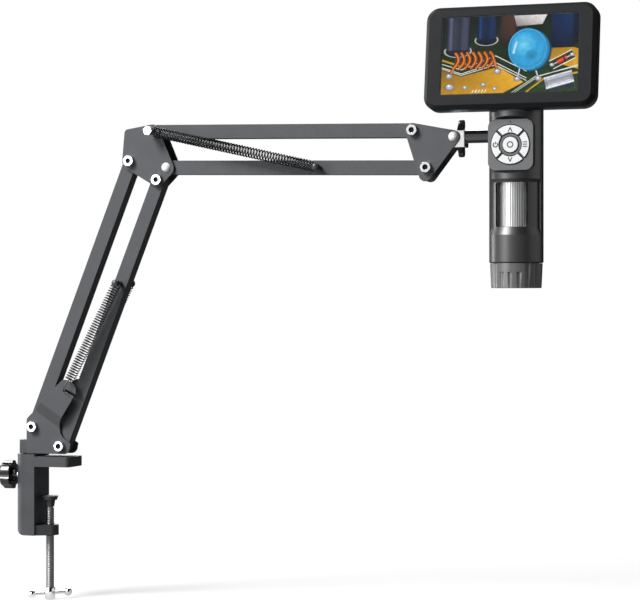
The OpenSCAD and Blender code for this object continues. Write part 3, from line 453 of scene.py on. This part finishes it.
def spring_piece(name, low, high, turns, low_r, high_r, hook, node):
    """A spring from low to high in the frame, which takes the place of its CAD node and hides it.
    """
    along = (high - low).normalized()
    out = Vector((0, 1, 0))
    aside = out.cross(along).normalized()
    place = Matrix((aside, out, along)).transposed().to_4x4()
    place.translation = low
    line = [place @ p for p in spring_line((high - low).length, turns, low_r, high_r, hook)]
    obj = mesh_object(name, *sweep(line, WIRE_R, WIRE_SIDES), WIRE, smooth_angle=80)
    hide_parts(node)
    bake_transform(obj)


def box_centre(node):
    """Middle of a CAD node's box."""
    low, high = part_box(node)
    return (low + high) / 2


PIN_LOOP_R = 1.95 * MM
BOLT_LOOP_R = 2.45 * MM
LOWER_TURNS, UPPER_TURNS = 40, 57
LOBE_TIP = PIVOT["lower_arm"] + Vector((30.6, 0, 31.8)) * MM
HOOK_IN = 2.703 * MM
for side in ("near", "far"):
    low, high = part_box(f"lower_spring_{side}")
    spring_y = (low.y + high.y) / 2
    pin = box_centre("lower_spring_pin")
    pin.y = spring_y
    # the hook's loop reaches round the lobe's tab, so it starts inside the lobe's tip
    tip = Vector((LOBE_TIP.x, spring_y, LOBE_TIP.z))
    hook = tip - (pin - tip).normalized() * HOOK_IN
    spring_piece(f"lower_spring_{side}_wire", hook, pin, LOWER_TURNS, COIL_R, PIN_LOOP_R, True,
                 f"lower_spring_{side}")
    bolt = PIVOT["upper_arm"].copy()
    bolt.y = spring_y
    pin = box_centre("upper_spring_pin")
    pin.y = spring_y
    spring_piece(f"upper_spring_{side}_wire", bolt, pin, UPPER_TURNS, BOLT_LOOP_R, PIN_LOOP_R, False,
                 f"upper_spring_{side}")


# ---- Clamp screw ----

def clamp_screw():
    """Threaded rod with its plain neck in the pad and its bevelled head round the tommy bar."""
    low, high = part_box("clamp_screw")
    head_r = (high.x - low.x) / 2
    head_h, crest, root, pitch = 9.2 * MM, 3.1 * MM, 2.78 * MM, 1.27 * MM
    neck_r, neck_h = 2.4 * MM, 5.9 * MM
    thread_low, thread_high = low.z + head_h, high.z - neck_h
    columns, per_turn = ((28, 8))
    here = Matrix.Identity(4)
    rows = int((thread_high - thread_low) / pitch * per_turn)
    vertices = []
    for i in range(rows + 1):
        z = thread_low + (thread_high - thread_low) * i / rows
        for j in range(columns):
            phase = (z / pitch - j / columns) % 1
            ridge = 1 - abs(2 * phase - 1)
            r = root + (crest - root) * min(1, max(0, ridge * 1.5 - 0.25))
            angle = 2 * math.pi * j / columns
            vertices.append(Vector((r * math.cos(angle), r * math.sin(angle), z)))
    thread = (vertices, grid_faces(rows + 1, columns), 0)
    neck = (*lathe([(neck_r, thread_high - 0.3 * MM), (neck_r, high.z - 0.4 * MM), (neck_r - 0.4 * MM, high.z),
                    (0, high.z)], 32, here), 0)
    cut = 0.7 * MM
    head = (*lathe([(0, low.z), (head_r - 1.6 * cut, low.z), (head_r - 0.4 * cut, low.z + 0.5 * cut),
                    (head_r, low.z + 1.6 * cut), (head_r, low.z + head_h - 1.6 * cut),
                    (head_r - 0.4 * cut, low.z + head_h - 0.5 * cut), (head_r - 1.6 * cut, low.z + head_h),
                    (root * 0.9, low.z + head_h)], 48, here), 1)
    obj = join("clamp_screw_thread", [thread, neck, head], [STEEL, CHROME], smooth_angle=50)
    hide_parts("clamp_screw")
    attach(obj, "clamp_screw")


clamp_screw()


# ---- Focus wheel ----

def focus_wheel():
    """Aluminium wheel with fine upright ribs, painted shade in their grooves, and rounded ends."""
    low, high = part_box("focus_wheel")
    centre = box_centre("focus_wheel")
    outer, inner, ribs = (high.x - low.x) / 2, 12 * MM, 72
    depth, corner, corner_steps = 0.6 * MM, 1.5 * MM, 5
    shape = ((0.0, 0.0), (0.22, 0.0), (0.36, 1.0), (0.66, 1.0), (0.80, 0.0))
    rows = []
    for k in range(corner_steps + 1):
        angle = math.pi / 2 * k / corner_steps
        rows.append((corner * (1 - math.sin(angle)), corner * (1 - math.cos(angle)), math.sin(angle)))
    upper = [(high.z - rise, inset, ribbed) for rise, inset, ribbed in reversed(rows)]
    rows = [(low.z + rise, inset, ribbed) for rise, inset, ribbed in rows] + upper
    vertices = []
    for z, inset, ribbed in rows:
        for k in range(ribs):
            for part, dip in shape:
                angle = 2 * math.pi * (k + part) / ribs
                r = outer - inset - dip * depth * ribbed
                vertices.append(Vector((centre.x + r * math.cos(angle), centre.y + r * math.sin(angle), z)))
    columns = ribs * len(shape)
    for z in (high.z, low.z):
        for k in range(columns):
            angle = 2 * math.pi * k / columns
            vertices.append(Vector((centre.x + inner * math.cos(angle), centre.y + inner * math.sin(angle), z)))
    faces = grid_faces(len(rows) + 2, columns, wrap_rows=True)
    obj = mesh_object("focus_wheel_ribs", vertices, faces, WHEEL, smooth_angle=20)
    obj.data.materials.append(GROOVE_SHADE)
    # the groove faces of the ribbed rows take the painted shade
    for row in range(len(rows) - 1):
        for column in range(columns):
            if column % len(shape) in (1, 2, 3):
                obj.data.polygons[row * columns + column].material_index = 1
    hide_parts("focus_wheel")
    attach(obj, "focus_wheel")


focus_wheel()


# ---- Locking rings in the nuts, with painted shade over the bolt ends ----

RING_PROFILE = [(2.0, -0.7), (2.0, -0.12), (1.8, -0.05), (1.45, -0.12), (1.3, -0.35), (1.3, -0.78), (0, -0.8)]


def lock_rings(name, body, pivots, face_y):
    """Nylon ring, and a dark disc of painted shade over the bolt end, that show in each lock nut."""
    parts = []
    for p in pivots:
        place = Matrix.Translation(Vector((p.x, face_y, p.z))) @ Matrix.Rotation(math.pi / 2, 4, "X")
        parts.append((*lathe([(r * MM, h * MM) for r, h in RING_PROFILE], 32, place), 0))
    obj = join(name, parts, [NYLON_AND_HOLE_SHADE])
    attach(obj, body)


for node, body in (("base_nuts", "swivel_base"), ("elbow_nuts", "elbow"), ("end_nuts", "end_bracket")):
    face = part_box(node)[0].y
    if node == "base_nuts":
        centres = [PIVOT["lower_arm"], PIVOT["lower_front_turn"]]
    elif node == "elbow_nuts":
        shift = PIVOT["lower_front_turn"] - PIVOT["lower_arm"]
        centres = [PIVOT["elbow_level"], PIVOT["elbow_level"] + shift]
    else:
        shift = PIVOT["upper_bottom_turn"] - PIVOT["upper_arm"]
        centres = [PIVOT["end_level"], PIVOT["end_level"] + shift]
    lock_rings(node + "_rings", body, centres, face)


# ---- Key symbols ----

def ribbon(line, width, closed=False):
    """A flat band of the given width along 2D points, as (vertices, faces)."""
    count = len(line)
    vertices = []
    for i, (x, z) in enumerate(line):
        before = line[i - 1] if i or closed else line[i]
        after = line[(i + 1) % count] if i < count - 1 or closed else line[i]
        a = Vector((x - before[0], z - before[1]))
        b = Vector((after[0] - x, after[1] - z))
        a = a.normalized() if a.length > 1e-9 else b.normalized()
        b = b.normalized() if b.length > 1e-9 else a
        tangent = (a + b).normalized()
        normal = Vector((-tangent.y, tangent.x))
        reach = width / 2 / max(0.4, normal.dot(Vector((-a.y, a.x))))
        vertices += [(x + normal.x * reach, z + normal.y * reach), (x - normal.x * reach, z - normal.y * reach)]
    faces = []
    for i in range(count if closed else count - 1):
        a, b = 2 * i, 2 * i + 1
        c, d = (2 * i + 3) % (2 * count), (2 * i + 2) % (2 * count)
        faces.append([a, b, c, d])
    return vertices, faces


PRINT_PROUD, PRINT_DEEP = 0.04 * MM, 0.02 * MM


def printed(name, node, body, bands):
    """Print on a key's face: flat bands as thin closed slabs."""
    low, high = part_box(node)
    front = low.y
    cx, cz = (low.x + high.x) / 2, (low.z + high.z) / 2
    parts = []
    for centre, (flat, faces) in bands:
        count = len(flat)
        vertices = []
        for depth in (-PRINT_PROUD, PRINT_DEEP):
            vertices += [Vector((cx + (centre[0] + x) * MM, front + depth, cz + (centre[1] + z) * MM))
                         for x, z in flat]
        slab = [list(f) for f in faces] + [[i + count for i in reversed(f)] for f in faces]
        edges = [(a, b) for f in faces for a, b in zip(f, f[1:] + f[:1])]
        slab += [[b, a, a + count, b + count] for a, b in edges if (b, a) not in edges]
        parts.append((vertices, slab, 0))
    obj = join(name, parts, [GLYPH])
    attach(obj, body)


def face_outline(node):
    """Outline of a key's front face in millimetres of x and z, in order, from its own mesh."""
    mesh = NODES[node].data
    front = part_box(node)[0].y
    edges = set()
    for polygon in mesh.polygons:
        corners = [mesh.vertices[i].co for i in polygon.vertices]
        if polygon.normal.y > -0.9 or any(abs(p.y - front) > 0.02 * MM for p in corners):
            continue
        corners = [(round(p.x / MM, 3), round(p.z / MM, 3)) for p in corners]
        for a, b in zip(corners, corners[1:] + corners[:1]):
            if (b, a) in edges:
                edges.remove((b, a))
            else:
                edges.add((a, b))
    after = dict(sorted(edges))
    start = next(iter(after))
    line, here = [start], after[start]
    while here != start:
        line.append(here)
        here = after[here]
    return line


def outward(line, distance):
    """The closed line moved outwards by distance."""
    area = sum(a[0] * b[1] - b[0] * a[1] for a, b in zip(line, line[1:] + line[:1]))
    turn = 1 if area > 0 else -1
    moved = []
    for i, point in enumerate(line):
        before, after = Vector(line[i - 1]), Vector(line[(i + 1) % len(line)])
        a, b = (Vector(point) - before).normalized(), (after - Vector(point)).normalized()
        normal = Vector((a.y + b.y, -a.x - b.x)).normalized() * turn
        reach = distance / max(0.5, normal.dot(Vector((a.y, -a.x)) * turn))
        moved.append((point[0] + normal.x * reach, point[1] + normal.y * reach))
    return moved


def key_gap_shades():
    """Black lips that line the gaps between the keys and their panel: painted shade of the gaps."""
    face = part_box("key_panel")[0].y
    inner, wall, outer, corner, proud, deep = 0.06, 0.42, 0.7, 0.08, 0.06 * MM, 0.9 * MM
    parts = []
    for node in ("key_up", "key_down", "key_power", "key_menu", "key_ok"):
        line = face_outline(node)
        rings = [(outward(line, inner), face + deep), (outward(line, inner), face),
                 (outward(line, inner + corner), face - proud), (outward(line, outer - corner), face - proud),
                 (outward(line, outer), face), (outward(line, wall), face), (outward(line, wall), face + deep)]
        vertices = [Vector((x * MM, y, z * MM)) for ring, y in rings for x, z in ring]
        parts.append((vertices, grid_faces(len(rings), len(line), wrap_rows=True), 0))
    obj = join("key_gap_shades", parts, [GAP_SHADE])
    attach(obj, "microscope")


key_gap_shades()


def arc_line(radius, start, stop, steps):
    """2D points of an arc from start to stop degrees."""
    return [(radius * math.cos(math.radians(start + (stop - start) * k / steps)),
             radius * math.sin(math.radians(start + (stop - start) * k / steps))) for k in range(steps + 1)]


CHEVRON = [(-1.35, -1.3), (0, 1.5), (1.35, -1.3)]
BAND = 0.68
printed("key_up_mark", "key_up", "key_up", [((0, 0.3), ribbon(CHEVRON, BAND))])
printed("key_down_mark", "key_down", "key_down", [((0, -0.3), ribbon([(x, -z) for x, z in CHEVRON], BAND))])
printed("key_power_mark", "key_power", "key_power",
        [((-0.65, 0), ribbon(arc_line(1.55, 125, 415, 24), BAND)), ((-0.65, 1.0), ribbon([(0, -0.8), (0, 1.1)], BAND))])
printed("key_menu_mark", "key_menu", "key_menu",
        [((0.65, z), ribbon([(-1.6, 0), (1.6, 0)], BAND)) for z in (-1.5, 0, 1.5)])
printed("key_ok_mark", "key_ok", "key_ok", [((0, 0), ribbon(arc_line(1.9, 0, 350, 35), 0.7, closed=True))])
# a dark printed dot of painted shade over the status lamp's hole in the panel
low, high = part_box("key_panel")
LAMP_DROP = 1.75
lamp_hole = (0, (high.z - low.z) / 2 / MM - LAMP_DROP)
printed("status_lamp_hole_shade", "key_panel", "microscope", [(lamp_hole, ribbon(arc_line(0.28, 0, 345, 23), 0.54, closed=True))])


# ---- Screen picture ----

TILT = math.radians(-8)
SCREEN_W, SCREEN_H = 95.2, 53.5
MODULE_T, PICTURE_PROUD, LAYER_STEP = 3.15, 0.012, 0.0006


def picture_material():
    """Lit picture: its colours come from the mesh, with a fine mottle over them."""
    material, nodes, links, shader, place = node_material("screen_picture")
    colour = nodes.new("ShaderNodeVertexColor")
    colour.layer_name = "tint"
    mottle = add_noise(nodes, links, place, 420, detail=3.0)
    mix = nodes.new("ShaderNodeMix")
    mix.data_type = "RGBA"
    mix.blend_type = "MULTIPLY"
    mix.inputs["Factor"].default_value = 1.0
    links.new(colour.outputs["Color"], mix.inputs["A"])
    grey = nodes.new("ShaderNodeCombineColor")
    level = spread(nodes, links, mottle, 0.84, 1.12)
    for channel in ("Red", "Green", "Blue"):
        links.new(level, grey.inputs[channel])
    links.new(grey.outputs["Color"], mix.inputs["B"])
    shader.inputs["Base Color"].default_value = (0.004, 0.004, 0.005, 1)
    shader.inputs["Roughness"].default_value = 0.5
    shader.inputs["Specular IOR Level"].default_value = 0.05
    shader.inputs["Emission Strength"].default_value = 1.0
    links.new(mix.outputs["Result"], shader.inputs["Emission Color"])
    return material


class Picture:
    """Flat coloured patches in millimetres from the picture's lower left corner, later ones on top."""

    def __init__(self):
        self.vertices, self.faces, self.colours, self.layer = [], [], [], 0

    def patch(self, points, colours, faces=None):
        """A patch with a colour for each point, cut off at the picture's edges; one face, or the given ones."""
        base = len(self.vertices)
        self.layer += 1
        for x, z in points:
            x = min(max(x, 0), SCREEN_W)
            z = min(max(z, 0), SCREEN_H)
            self.vertices.append((x - SCREEN_W / 2, self.layer * LAYER_STEP, z - SCREEN_H / 2))
        self.colours += colours
        self.faces += [[i + base for i in f] for f in (faces or [list(range(len(points)))])]

    def band(self, line, width, profile):
        """A strip along line, shaded across by profile, a list of (place across from -1 to 1, colour)."""
        points, colours = [], []
        flat, _ = ribbon(line, width)
        for i in range(len(line)):
            left, right = Vector(flat[2 * i]), Vector(flat[2 * i + 1])
            for place, colour in profile:
                points.append(tuple(left.lerp(right, (place + 1) / 2)))
                colours.append(colour)
        self.patch(points, colours, grid_faces(len(line), len(profile), wrap_columns=False))

    def disc(self, x, z, rx, rz, colours, turn=0, steps=28):
        """An ellipse shaded from its middle to its rim: [(share of the radius, colour), ...]."""
        points, tints, faces = [(x, z)], [colours[0][1]], []
        c, s = math.cos(math.radians(turn)), math.sin(math.radians(turn))
        for share, colour in colours[1:]:
            for k in range(steps):
                a = 2 * math.pi * k / steps
                u, v = share * rx * math.cos(a), share * rz * math.sin(a)
                points.append((x + u * c - v * s, z + u * s + v * c))
                tints.append(colour)
        faces += [[0, 1 + k, 1 + (k + 1) % steps] for k in range(steps)]
        for ring in range(len(colours) - 2):
            a, b = 1 + ring * steps, 1 + (ring + 1) * steps
            faces += [[a + k, b + k, b + (k + 1) % steps, a + (k + 1) % steps] for k in range(steps)]
        self.patch(points, tints, faces)


def shade(colour, factor):
    """The colour made lighter or darker, up to 1."""
    return tuple(min(1.0, c * factor) for c in colour)


def rod_profile(colour, low=0.35, high=1.25, gleam=2.2):
    """Shading across a round wire, with its gleam left of the middle."""
    return [(-1, shade(colour, low)), (-0.55, shade(colour, 0.8)), (-0.25, shade(colour, gleam)),
            (0.05, shade(colour, high)), (0.5, shade(colour, 0.75)), (1, shade(colour, low))]


GREEN, GOLD, SILK = (0.016, 0.044, 0.013), (0.70, 0.36, 0.014), (0.92, 0.94, 0.80)
BLUE, COPPER, TIN = (0.03, 0.34, 0.66), (0.44, 0.10, 0.012), (0.52, 0.53, 0.60)
INK, SLATE, AMBER = (0.002, 0.002, 0.004), (0.032, 0.036, 0.066), (0.80, 0.05, 0.012)
NAVY, UMBER, CERAMIC = (0.003, 0.016, 0.06), (0.045, 0.018, 0.011), (0.62, 0.59, 0.57)


def solder_joint(art, x, z, size):
    """Round blob of solder with a bright spot."""
    art.disc(x, z, size * 1.5, size * 1.05, [(0, TIN), (0.6, shade(TIN, 0.8)), (1, shade(TIN, 0.12))])
    art.disc(x - size * 0.2, z + size * 0.3, size * 0.6, size * 0.5,
             [(0, (1, 1, 1)), (0.5, (0.9, 0.92, 0.95)), (1, shade(TIN, 0.8))])


def drum(art, x, z, width, height, colour):
    """Upright can seen from the side, with its round foot."""
    art.disc(x, z, width / 2 + 1.6, width / 5 + 1.2, [(0, INK), (0.85, INK), (0.93, shade(SILK, 0.7)), (1, GREEN)])
    art.disc(x, z + 0.6, width / 2, width / 5, [(0, INK), (1, shade(colour, 0.5))])
    art.band([(x, z + 0.6), (x, z + height)], width,
             [(-1, INK), (-0.8, colour), (-0.62, shade(colour, 3)), (-0.45, colour), (0.1, shade(colour, 0.5)),
              (0.55, shade(colour, 1.6)), (0.8, colour), (1, INK)])


def disc_capacitor(art, x, z):
    """Lacquered ceramic disc on two tinned legs, with its rim to the right."""
    for foot, lean in ((-4.5, -2.0), (5.0, 3.2)):
        art.band([(x + foot, z - 10), (x + foot + lean * 0.4, z - 15), (x + foot + lean, z - 20.5)], 1.2,
                 rod_profile(TIN, 0.15, 1.4, 2.0))
        solder_joint(art, x + foot + lean, z - 20.8, 1.7)
    rim = [(0, shade(BLUE, 0.25)), (0.8, shade(BLUE, 0.3)), (1, shade(BLUE, 0.12))]
    art.disc(x + 3.2, z - 1.4, 13.6, 14.4, rim, turn=12, steps=40)
    art.disc(x + 1.6, z - 0.7, 13.8, 14.6, [(0, BLUE), (0.8, shade(BLUE, 0.8)), (1, shade(BLUE, 0.55))], turn=12,
             steps=40)
    face = [(0, shade(BLUE, 1.15)), (0.5, shade(BLUE, 1.05)), (0.8, BLUE), (0.93, shade(BLUE, 0.8)),
            (1, shade(BLUE, 1.6))]
    art.disc(x, z, 13.4, 14.2, face, turn=12, steps=40)
    art.disc(x - 2.6, z + 3.4, 8.6, 8.2, [(0, (0.16, 0.62, 0.86)), (0.5, (0.09, 0.50, 0.78)), (1, shade(BLUE, 1.1))],
             turn=40, steps=32)
    art.band([(x - 9.6 + 0.4 * k, z - 3 + 2.3 * k - 0.16 * k * k) for k in range(7)], 2.6,
             [(-1, shade(BLUE, 1.1)), (0, (0.55, 0.85, 0.95)), (1, shade(BLUE, 1.1))])
    art.disc(x + 3, z - 4.5, 5, 4, [(0, shade(BLUE, 0.62)), (0.6, shade(BLUE, 0.8)), (1, shade(BLUE, 1.05))],
             turn=30)


def air_coil(art, x, z):
    """Open coil of thick enamelled wire, lying across the board."""
    for k in range(7):
        left = x + 4.1 * k
        back = [(left + 1.2 + 2.0 * t / 8, z + 1 + 9.4 * t / 8) for t in range(9)]
        art.band(back, 1.9, rod_profile(shade(COPPER, 0.3), 0.3, 0.8, 1.2))
    for k in range(7):
        left = x + 4.1 * k
        front = [(left + 3.2 * math.sin(t / 10 * math.pi) + 0.12 * t, z + 1.15 * t) for t in range(11)]
        art.band(front, 2.5, rod_profile(COPPER, 0.18, 1.5, 3.4))
    for start, end in (((x + 0.4, z + 0.4), (x - 2.6, z - 5)), ((x + 27.2, z + 10), (x + 31.5, z - 2.5))):
        art.band([start, end], 2.3, rod_profile(COPPER, 0.18, 1.5, 3.4))
        solder_joint(art, end[0], end[1], 1.8)


def crystal_can(art, x, z):
    """Low drawn-metal can with a rim, seen from above its long side."""
    art.band([(x, z - 2.6), (x + 19, z + 2.2)], 9.4, [(-1, INK), (-0.8, shade(SLATE, 1.4)), (1, shade(SLATE, 0.7))])
    art.band([(x, z), (x + 19, z + 4.8)], 8.6,
             [(-1, shade(TIN, 0.3)), (-0.85, shade(TIN, 1.7)), (-0.6, shade(TIN, 0.8)), (0, shade(TIN, 0.45)),
              (0.5, shade(TIN, 0.7)), (0.85, shade(TIN, 1.9)), (1, shade(TIN, 0.5))])
    art.band([(x + 1.8, z + 0.4), (x + 17.2, z + 4.3)], 4.6,
             [(-1, shade(TIN, 1.3)), (-0.5, shade(TIN, 0.55)), (0.6, shade(TIN, 0.8)), (1, shade(TIN, 1.5))])


def block(art, x, z, w, h, skew, colour):
    """Dark box seen from above one corner."""
    top = [(x, z + h), (x + w, z + h), (x + w + skew, z + h + skew * 0.6), (x + skew, z + h + skew * 0.6)]
    art.patch(top, [shade(colour, 2.0), shade(colour, 2.6), shade(colour, 4.0), shade(colour, 3.0)])
    art.patch([(x, z), (x + w, z), (x + w, z + h), (x, z + h)],
              [shade(colour, 0.2), shade(colour, 0.5), shade(colour, 1.8), shade(colour, 1.0)])
    art.patch([(x + w, z), (x + w + skew, z + skew * 0.6), (x + w + skew, z + h + skew * 0.6), (x + w, z + h)],
              [INK, INK, shade(colour, 0.5), shade(colour, 0.7)])


def glass_diode(art, x, z):
    """Small red glass body with a dark band and bright wires, on its printed outline."""
    art.band([(x - 7, z - 3.4), (x + 8, z + 4)], 6.6, [(-1, SILK), (-0.86, SILK), (-0.85, GREEN), (0.85, GREEN),
                                                       (0.86, SILK), (1, SILK)])
    art.band([(x - 6, z - 3), (x + 6.6, z + 3.2)], 0.9, rod_profile(TIN, 0.2, 1.5, 2.0))
    art.band([(x - 3, z - 1.5), (x + 3.6, z + 1.8)], 3.6, rod_profile(AMBER, 0.12, 1.2, 2.2))
    art.band([(x + 1.2, z + 0.55), (x + 2.3, z + 1.1)], 3.7, rod_profile(SLATE, 0.1, 0.6, 2.0))
    solder_joint(art, x - 6.6, z - 3.2, 1.3)
    solder_joint(art, x + 7.2, z + 3.5, 1.3)


def screen_picture():
    """Generic close-up of a circuit board: copper pours, printed lines, a coil, a disc, cans and solder."""
    art = Picture()
    art.patch([(0, 0), (SCREEN_W, 0), (SCREEN_W, SCREEN_H), (0, SCREEN_H)],
              [shade(GREEN, 0.8), shade(GREEN, 1.3), shade(GREEN, 0.15), shade(GREEN, 0.12)])
    art.patch([(0, 0), (44, 0), (58, 7), (40, 18), (14, 12), (0, 17)],
              [shade(GOLD, 0.7), GOLD, shade(GOLD, 1.2), GOLD, shade(GOLD, 0.55), shade(GOLD, 0.35)])
    art.patch([(72, 22), (SCREEN_W, 15), (SCREEN_W, 29), (80, 34)],
              [shade(GOLD, 0.6), shade(GOLD, 1.1), shade(GOLD, 0.8), shade(GOLD, 0.4)])
    art.band([(60, 0), (72, 9), (SCREEN_W, 12.5)], 1.2, [(-1, shade(GOLD, 0.8)), (1, GOLD)])
    art.band([(0, 24), (13, 19.5), (19, 22)], 1.3, [(-1, shade(GOLD, 0.7)), (1, shade(GOLD, 0.9))])
    for offset in (0, 1.7, 6.4):
        art.band([(0, 18 + offset * 0.5), (14, 13 + offset * 0.6), (38, 19.5 + offset), (60, 8 + offset)], 0.5,
                 [(-1, shade(SILK, 0.7)), (1, SILK)])
    for offset in (0, 2.0):
        art.band([(50 + offset, 0), (66 + offset, 10.5), (SCREEN_W, 17 + offset * 0.4)], 0.5,
                 [(-1, shade(SILK, 0.6)), (1, SILK)])
    for centre, size in (((6, 5), 2.4), ((17, 4.4), 1.3), ((30, 6), 1.4), ((38, 3), 1.2)):
        solder_joint(art, *centre, size)
    for k in range(5):
        art.band([(22 + 2.2 * k, 0.6), (23.1 + 2.2 * k, 2.6)], 0.7, [(-1, SILK), (1, shade(SILK, 0.8))])
    block(art, 41, 33, 10, 24, 4, UMBER)
    block(art, 76, 30, 15, 26, 6, NAVY)
    art.patch([(52, 46), (70, 47), (73, SCREEN_H), (50, SCREEN_H)],
              [shade(CERAMIC, 0.35), shade(CERAMIC, 0.9), shade(CERAMIC, 1.5), shade(CERAMIC, 0.8)])
    drum(art, 11, 30, 17, 30, SLATE)
    drum(art, 31, 37, 14, 22, NAVY)
    air_coil(art, 8, 17.5)
    disc_capacitor(art, 60, 30)
    crystal_can(art, 73, 5.5)
    glass_diode(art, 84, 21.5)
    place = Matrix.Translation(box_centre("lcd_panel")) @ Matrix.Rotation(TILT, 4, "X")
    front = -MODULE_T / 2 - PICTURE_PROUD
    vertices = [place @ (Vector((x, front - layer, z)) * MM) for x, layer, z in art.vertices]
    obj = mesh_object("screen_picture", vertices, art.faces, picture_material(), smooth_angle=180)
    tint = obj.data.color_attributes.new("tint", "FLOAT_COLOR", "POINT")
    for i, colour in enumerate(art.colours):
        tint.data[i].color = (*colour, 1)
    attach(obj, "microscope")


screen_picture()


# ---- Stage ----

SOFT_LEFT, SOFT_RIGHT = Vector((-0.545, -0.839, 0.30)), Vector((0.98, 0.19, 0.08))
FILL_LEVEL = 0.08
# the paper bounces little light up at the object, and looks pale to the camera
PAPER_BOUNCE, PAPER_SEEN = (0.1, 0.1, 0.1, 1), (0.8, 0.8, 0.8, 1)
# the floor turns white between these distances from its middle, in metres, and starts this far on its way
FADE_REACH, FADE_LEVEL = (0.1, 0.9), (0.55, 1.0)
FLOOR_HALF, FLOOR_STEPS = 6.0, 12


def joined(nodes, links, operation, first, second):
    """The result of a math node on two values."""
    node = nodes.new("ShaderNodeMath")
    node.operation = operation
    links.new(first, node.inputs[0])
    links.new(second, node.inputs[1])
    return node.outputs["Value"]


def mixed(nodes, links, amount, first, second):
    """A mix of two shaders: first where amount is 0, second where it is 1."""
    node = nodes.new("ShaderNodeMixShader")
    links.new(amount, node.inputs["Fac"])
    links.new(first, node.inputs[1])
    links.new(second, node.inputs[2])
    return node.outputs["Shader"]


def soft_box(nodes, links, direction, aim, reach, level):
    """Brightness that rises towards one side of the studio: reach in cosines, level in strengths."""
    facing = nodes.new("ShaderNodeVectorMath")
    facing.operation = "DOT_PRODUCT"
    facing.inputs[1].default_value = aim.normalized()
    links.new(direction, facing.inputs[0])
    return map_range(nodes, links, facing.outputs["Value"], reach, level, "SMOOTHSTEP")


def light_path(nodes, links):
    """1 for rays straight from the camera or through glass, and 1 for rays that a gloss sends out."""
    path = nodes.new("ShaderNodeLightPath")
    seen = joined(nodes, links, "MAXIMUM", path.outputs["Is Camera Ray"], path.outputs["Is Transmission Ray"])
    return seen, path.outputs["Is Glossy Ray"]


def studio():
    """White backdrop for the camera, a plain dim fill for the surfaces, and two soft boxes that only gloss shows."""
    scene = bpy.context.scene
    scene.view_settings.view_transform = "Standard"
    world = bpy.data.worlds.new("studio")
    world.use_nodes = True
    scene.world = world
    nodes, links = world.node_tree.nodes, world.node_tree.links
    fill = nodes["Background"]
    white = nodes.new("ShaderNodeBackground")
    soft = nodes.new("ShaderNodeBackground")
    for background, strength in ((fill, FILL_LEVEL), (white, 1.0)):
        background.inputs["Color"].default_value = (1, 1, 1, 1)
        background.inputs["Strength"].default_value = strength
    direction = nodes.new("ShaderNodeTexCoord").outputs["Generated"]
    left = soft_box(nodes, links, direction, SOFT_LEFT, (0.55, 0.95), (0.01, 1.0))
    right = soft_box(nodes, links, direction, SOFT_RIGHT, (0.70, 0.96), (0.0, 1.0))
    links.new(joined(nodes, links, "MAXIMUM", left, right), soft.inputs["Strength"])
    seen, glossy = light_path(nodes, links)
    lit = mixed(nodes, links, glossy, fill.outputs["Background"], soft.outputs["Background"])
    shown = mixed(nodes, links, seen, lit, white.outputs["Background"])
    links.new(shown, nodes["World Output"].inputs["Surface"])


def lamp(name, place, target, width, height, power):
    """A rectangular area lamp that points at target; sizes in metres, power in watts."""
    data = bpy.data.lights.new(name, "AREA")
    data.shape = "RECTANGLE"
    data.size, data.size_y = width, height
    data.energy = power
    obj = bpy.data.objects.new(name, data)
    bpy.context.scene.collection.objects.link(obj)
    obj.location = place
    obj.rotation_euler = (Vector(target) - Vector(place)).to_track_quat("-Z", "Y").to_euler()


def floor():
    """Pale floor that fades into the white background away from the object."""
    material, nodes, links, shader, place = node_material("floor_paper")
    shader.inputs["Roughness"].default_value = 0.9
    shader.inputs["Specular IOR Level"].default_value = 0.1
    glow = nodes.new("ShaderNodeEmission")
    glow.inputs["Strength"].default_value = 1.0
    apart = nodes.new("ShaderNodeVectorMath")
    apart.operation = "LENGTH"
    links.new(place.outputs["Object"], apart.inputs[0])
    fade = map_range(nodes, links, apart.outputs["Value"], FADE_REACH, FADE_LEVEL, "SMOOTHSTEP")
    seen, glossy = light_path(nodes, links)
    links.new(two_tone(nodes, links, seen, PAPER_BOUNCE, PAPER_SEEN), shader.inputs["Base Color"])
    lit = soft_box(nodes, links, place.outputs["Object"], Vector((SOFT_LEFT.x, SOFT_LEFT.y, 0)), (0.0, 0.13),
                   (0.03, 1.0))
    amount = joined(nodes, links, "MAXIMUM", joined(nodes, links, "MULTIPLY", seen, fade),
                    joined(nodes, links, "MULTIPLY", glossy, lit))
    shown = mixed(nodes, links, amount, shader.outputs["BSDF"], glow.outputs["Emission"])
    links.new(shown, nodes["Material Output"].inputs["Surface"])
    places = [-FLOOR_HALF + 2 * FLOOR_HALF * i / FLOOR_STEPS for i in range(FLOOR_STEPS + 1)]
    vertices = [Vector((x, y, 0)) for x in places for y in places]
    faces = grid_faces(FLOOR_STEPS + 1, FLOOR_STEPS + 1, wrap_columns=False)
    obj = mesh_object("floor", vertices, faces, material)
    obj.location = (0.15, 0.0, START_BOX[0].z - 0.2 * MM)


def camera():
    """The camera solved from the photograph."""
    data = bpy.data.cameras.new("camera")
    data.lens = 128.8
    data.sensor_width = 36
    data.clip_start, data.clip_end = 0.05, 40
    obj = bpy.data.objects.new("camera", data)
    bpy.context.scene.collection.objects.link(obj)
    obj.location = (0.7448, -1.5322, 0.121)
    obj.rotation_euler = (math.radians(90), 0, math.radians(19.2))
    bpy.context.scene.camera = obj


studio()
# place, target, width, height and power
for name, setting in {
    "key": ((-1.1, -1.6, 2.0), (0.15, 0, 0.15), 1.0, 1.0, 135),
    "soft": ((-1.1, -1.9, 0.5), (0.15, 0, 0.15), 1.1, 1.7, 21),
    "strip": ((-2.0, 0.5, 0.45), (0.2, 0, 0.2), 0.4, 1.6, 20),
    "back": ((-0.7, 1.8, 1.2), (0.15, 0, 0.1), 1.2, 1.2, 26),
}.items():
    lamp(name, *setting)
floor()
camera()
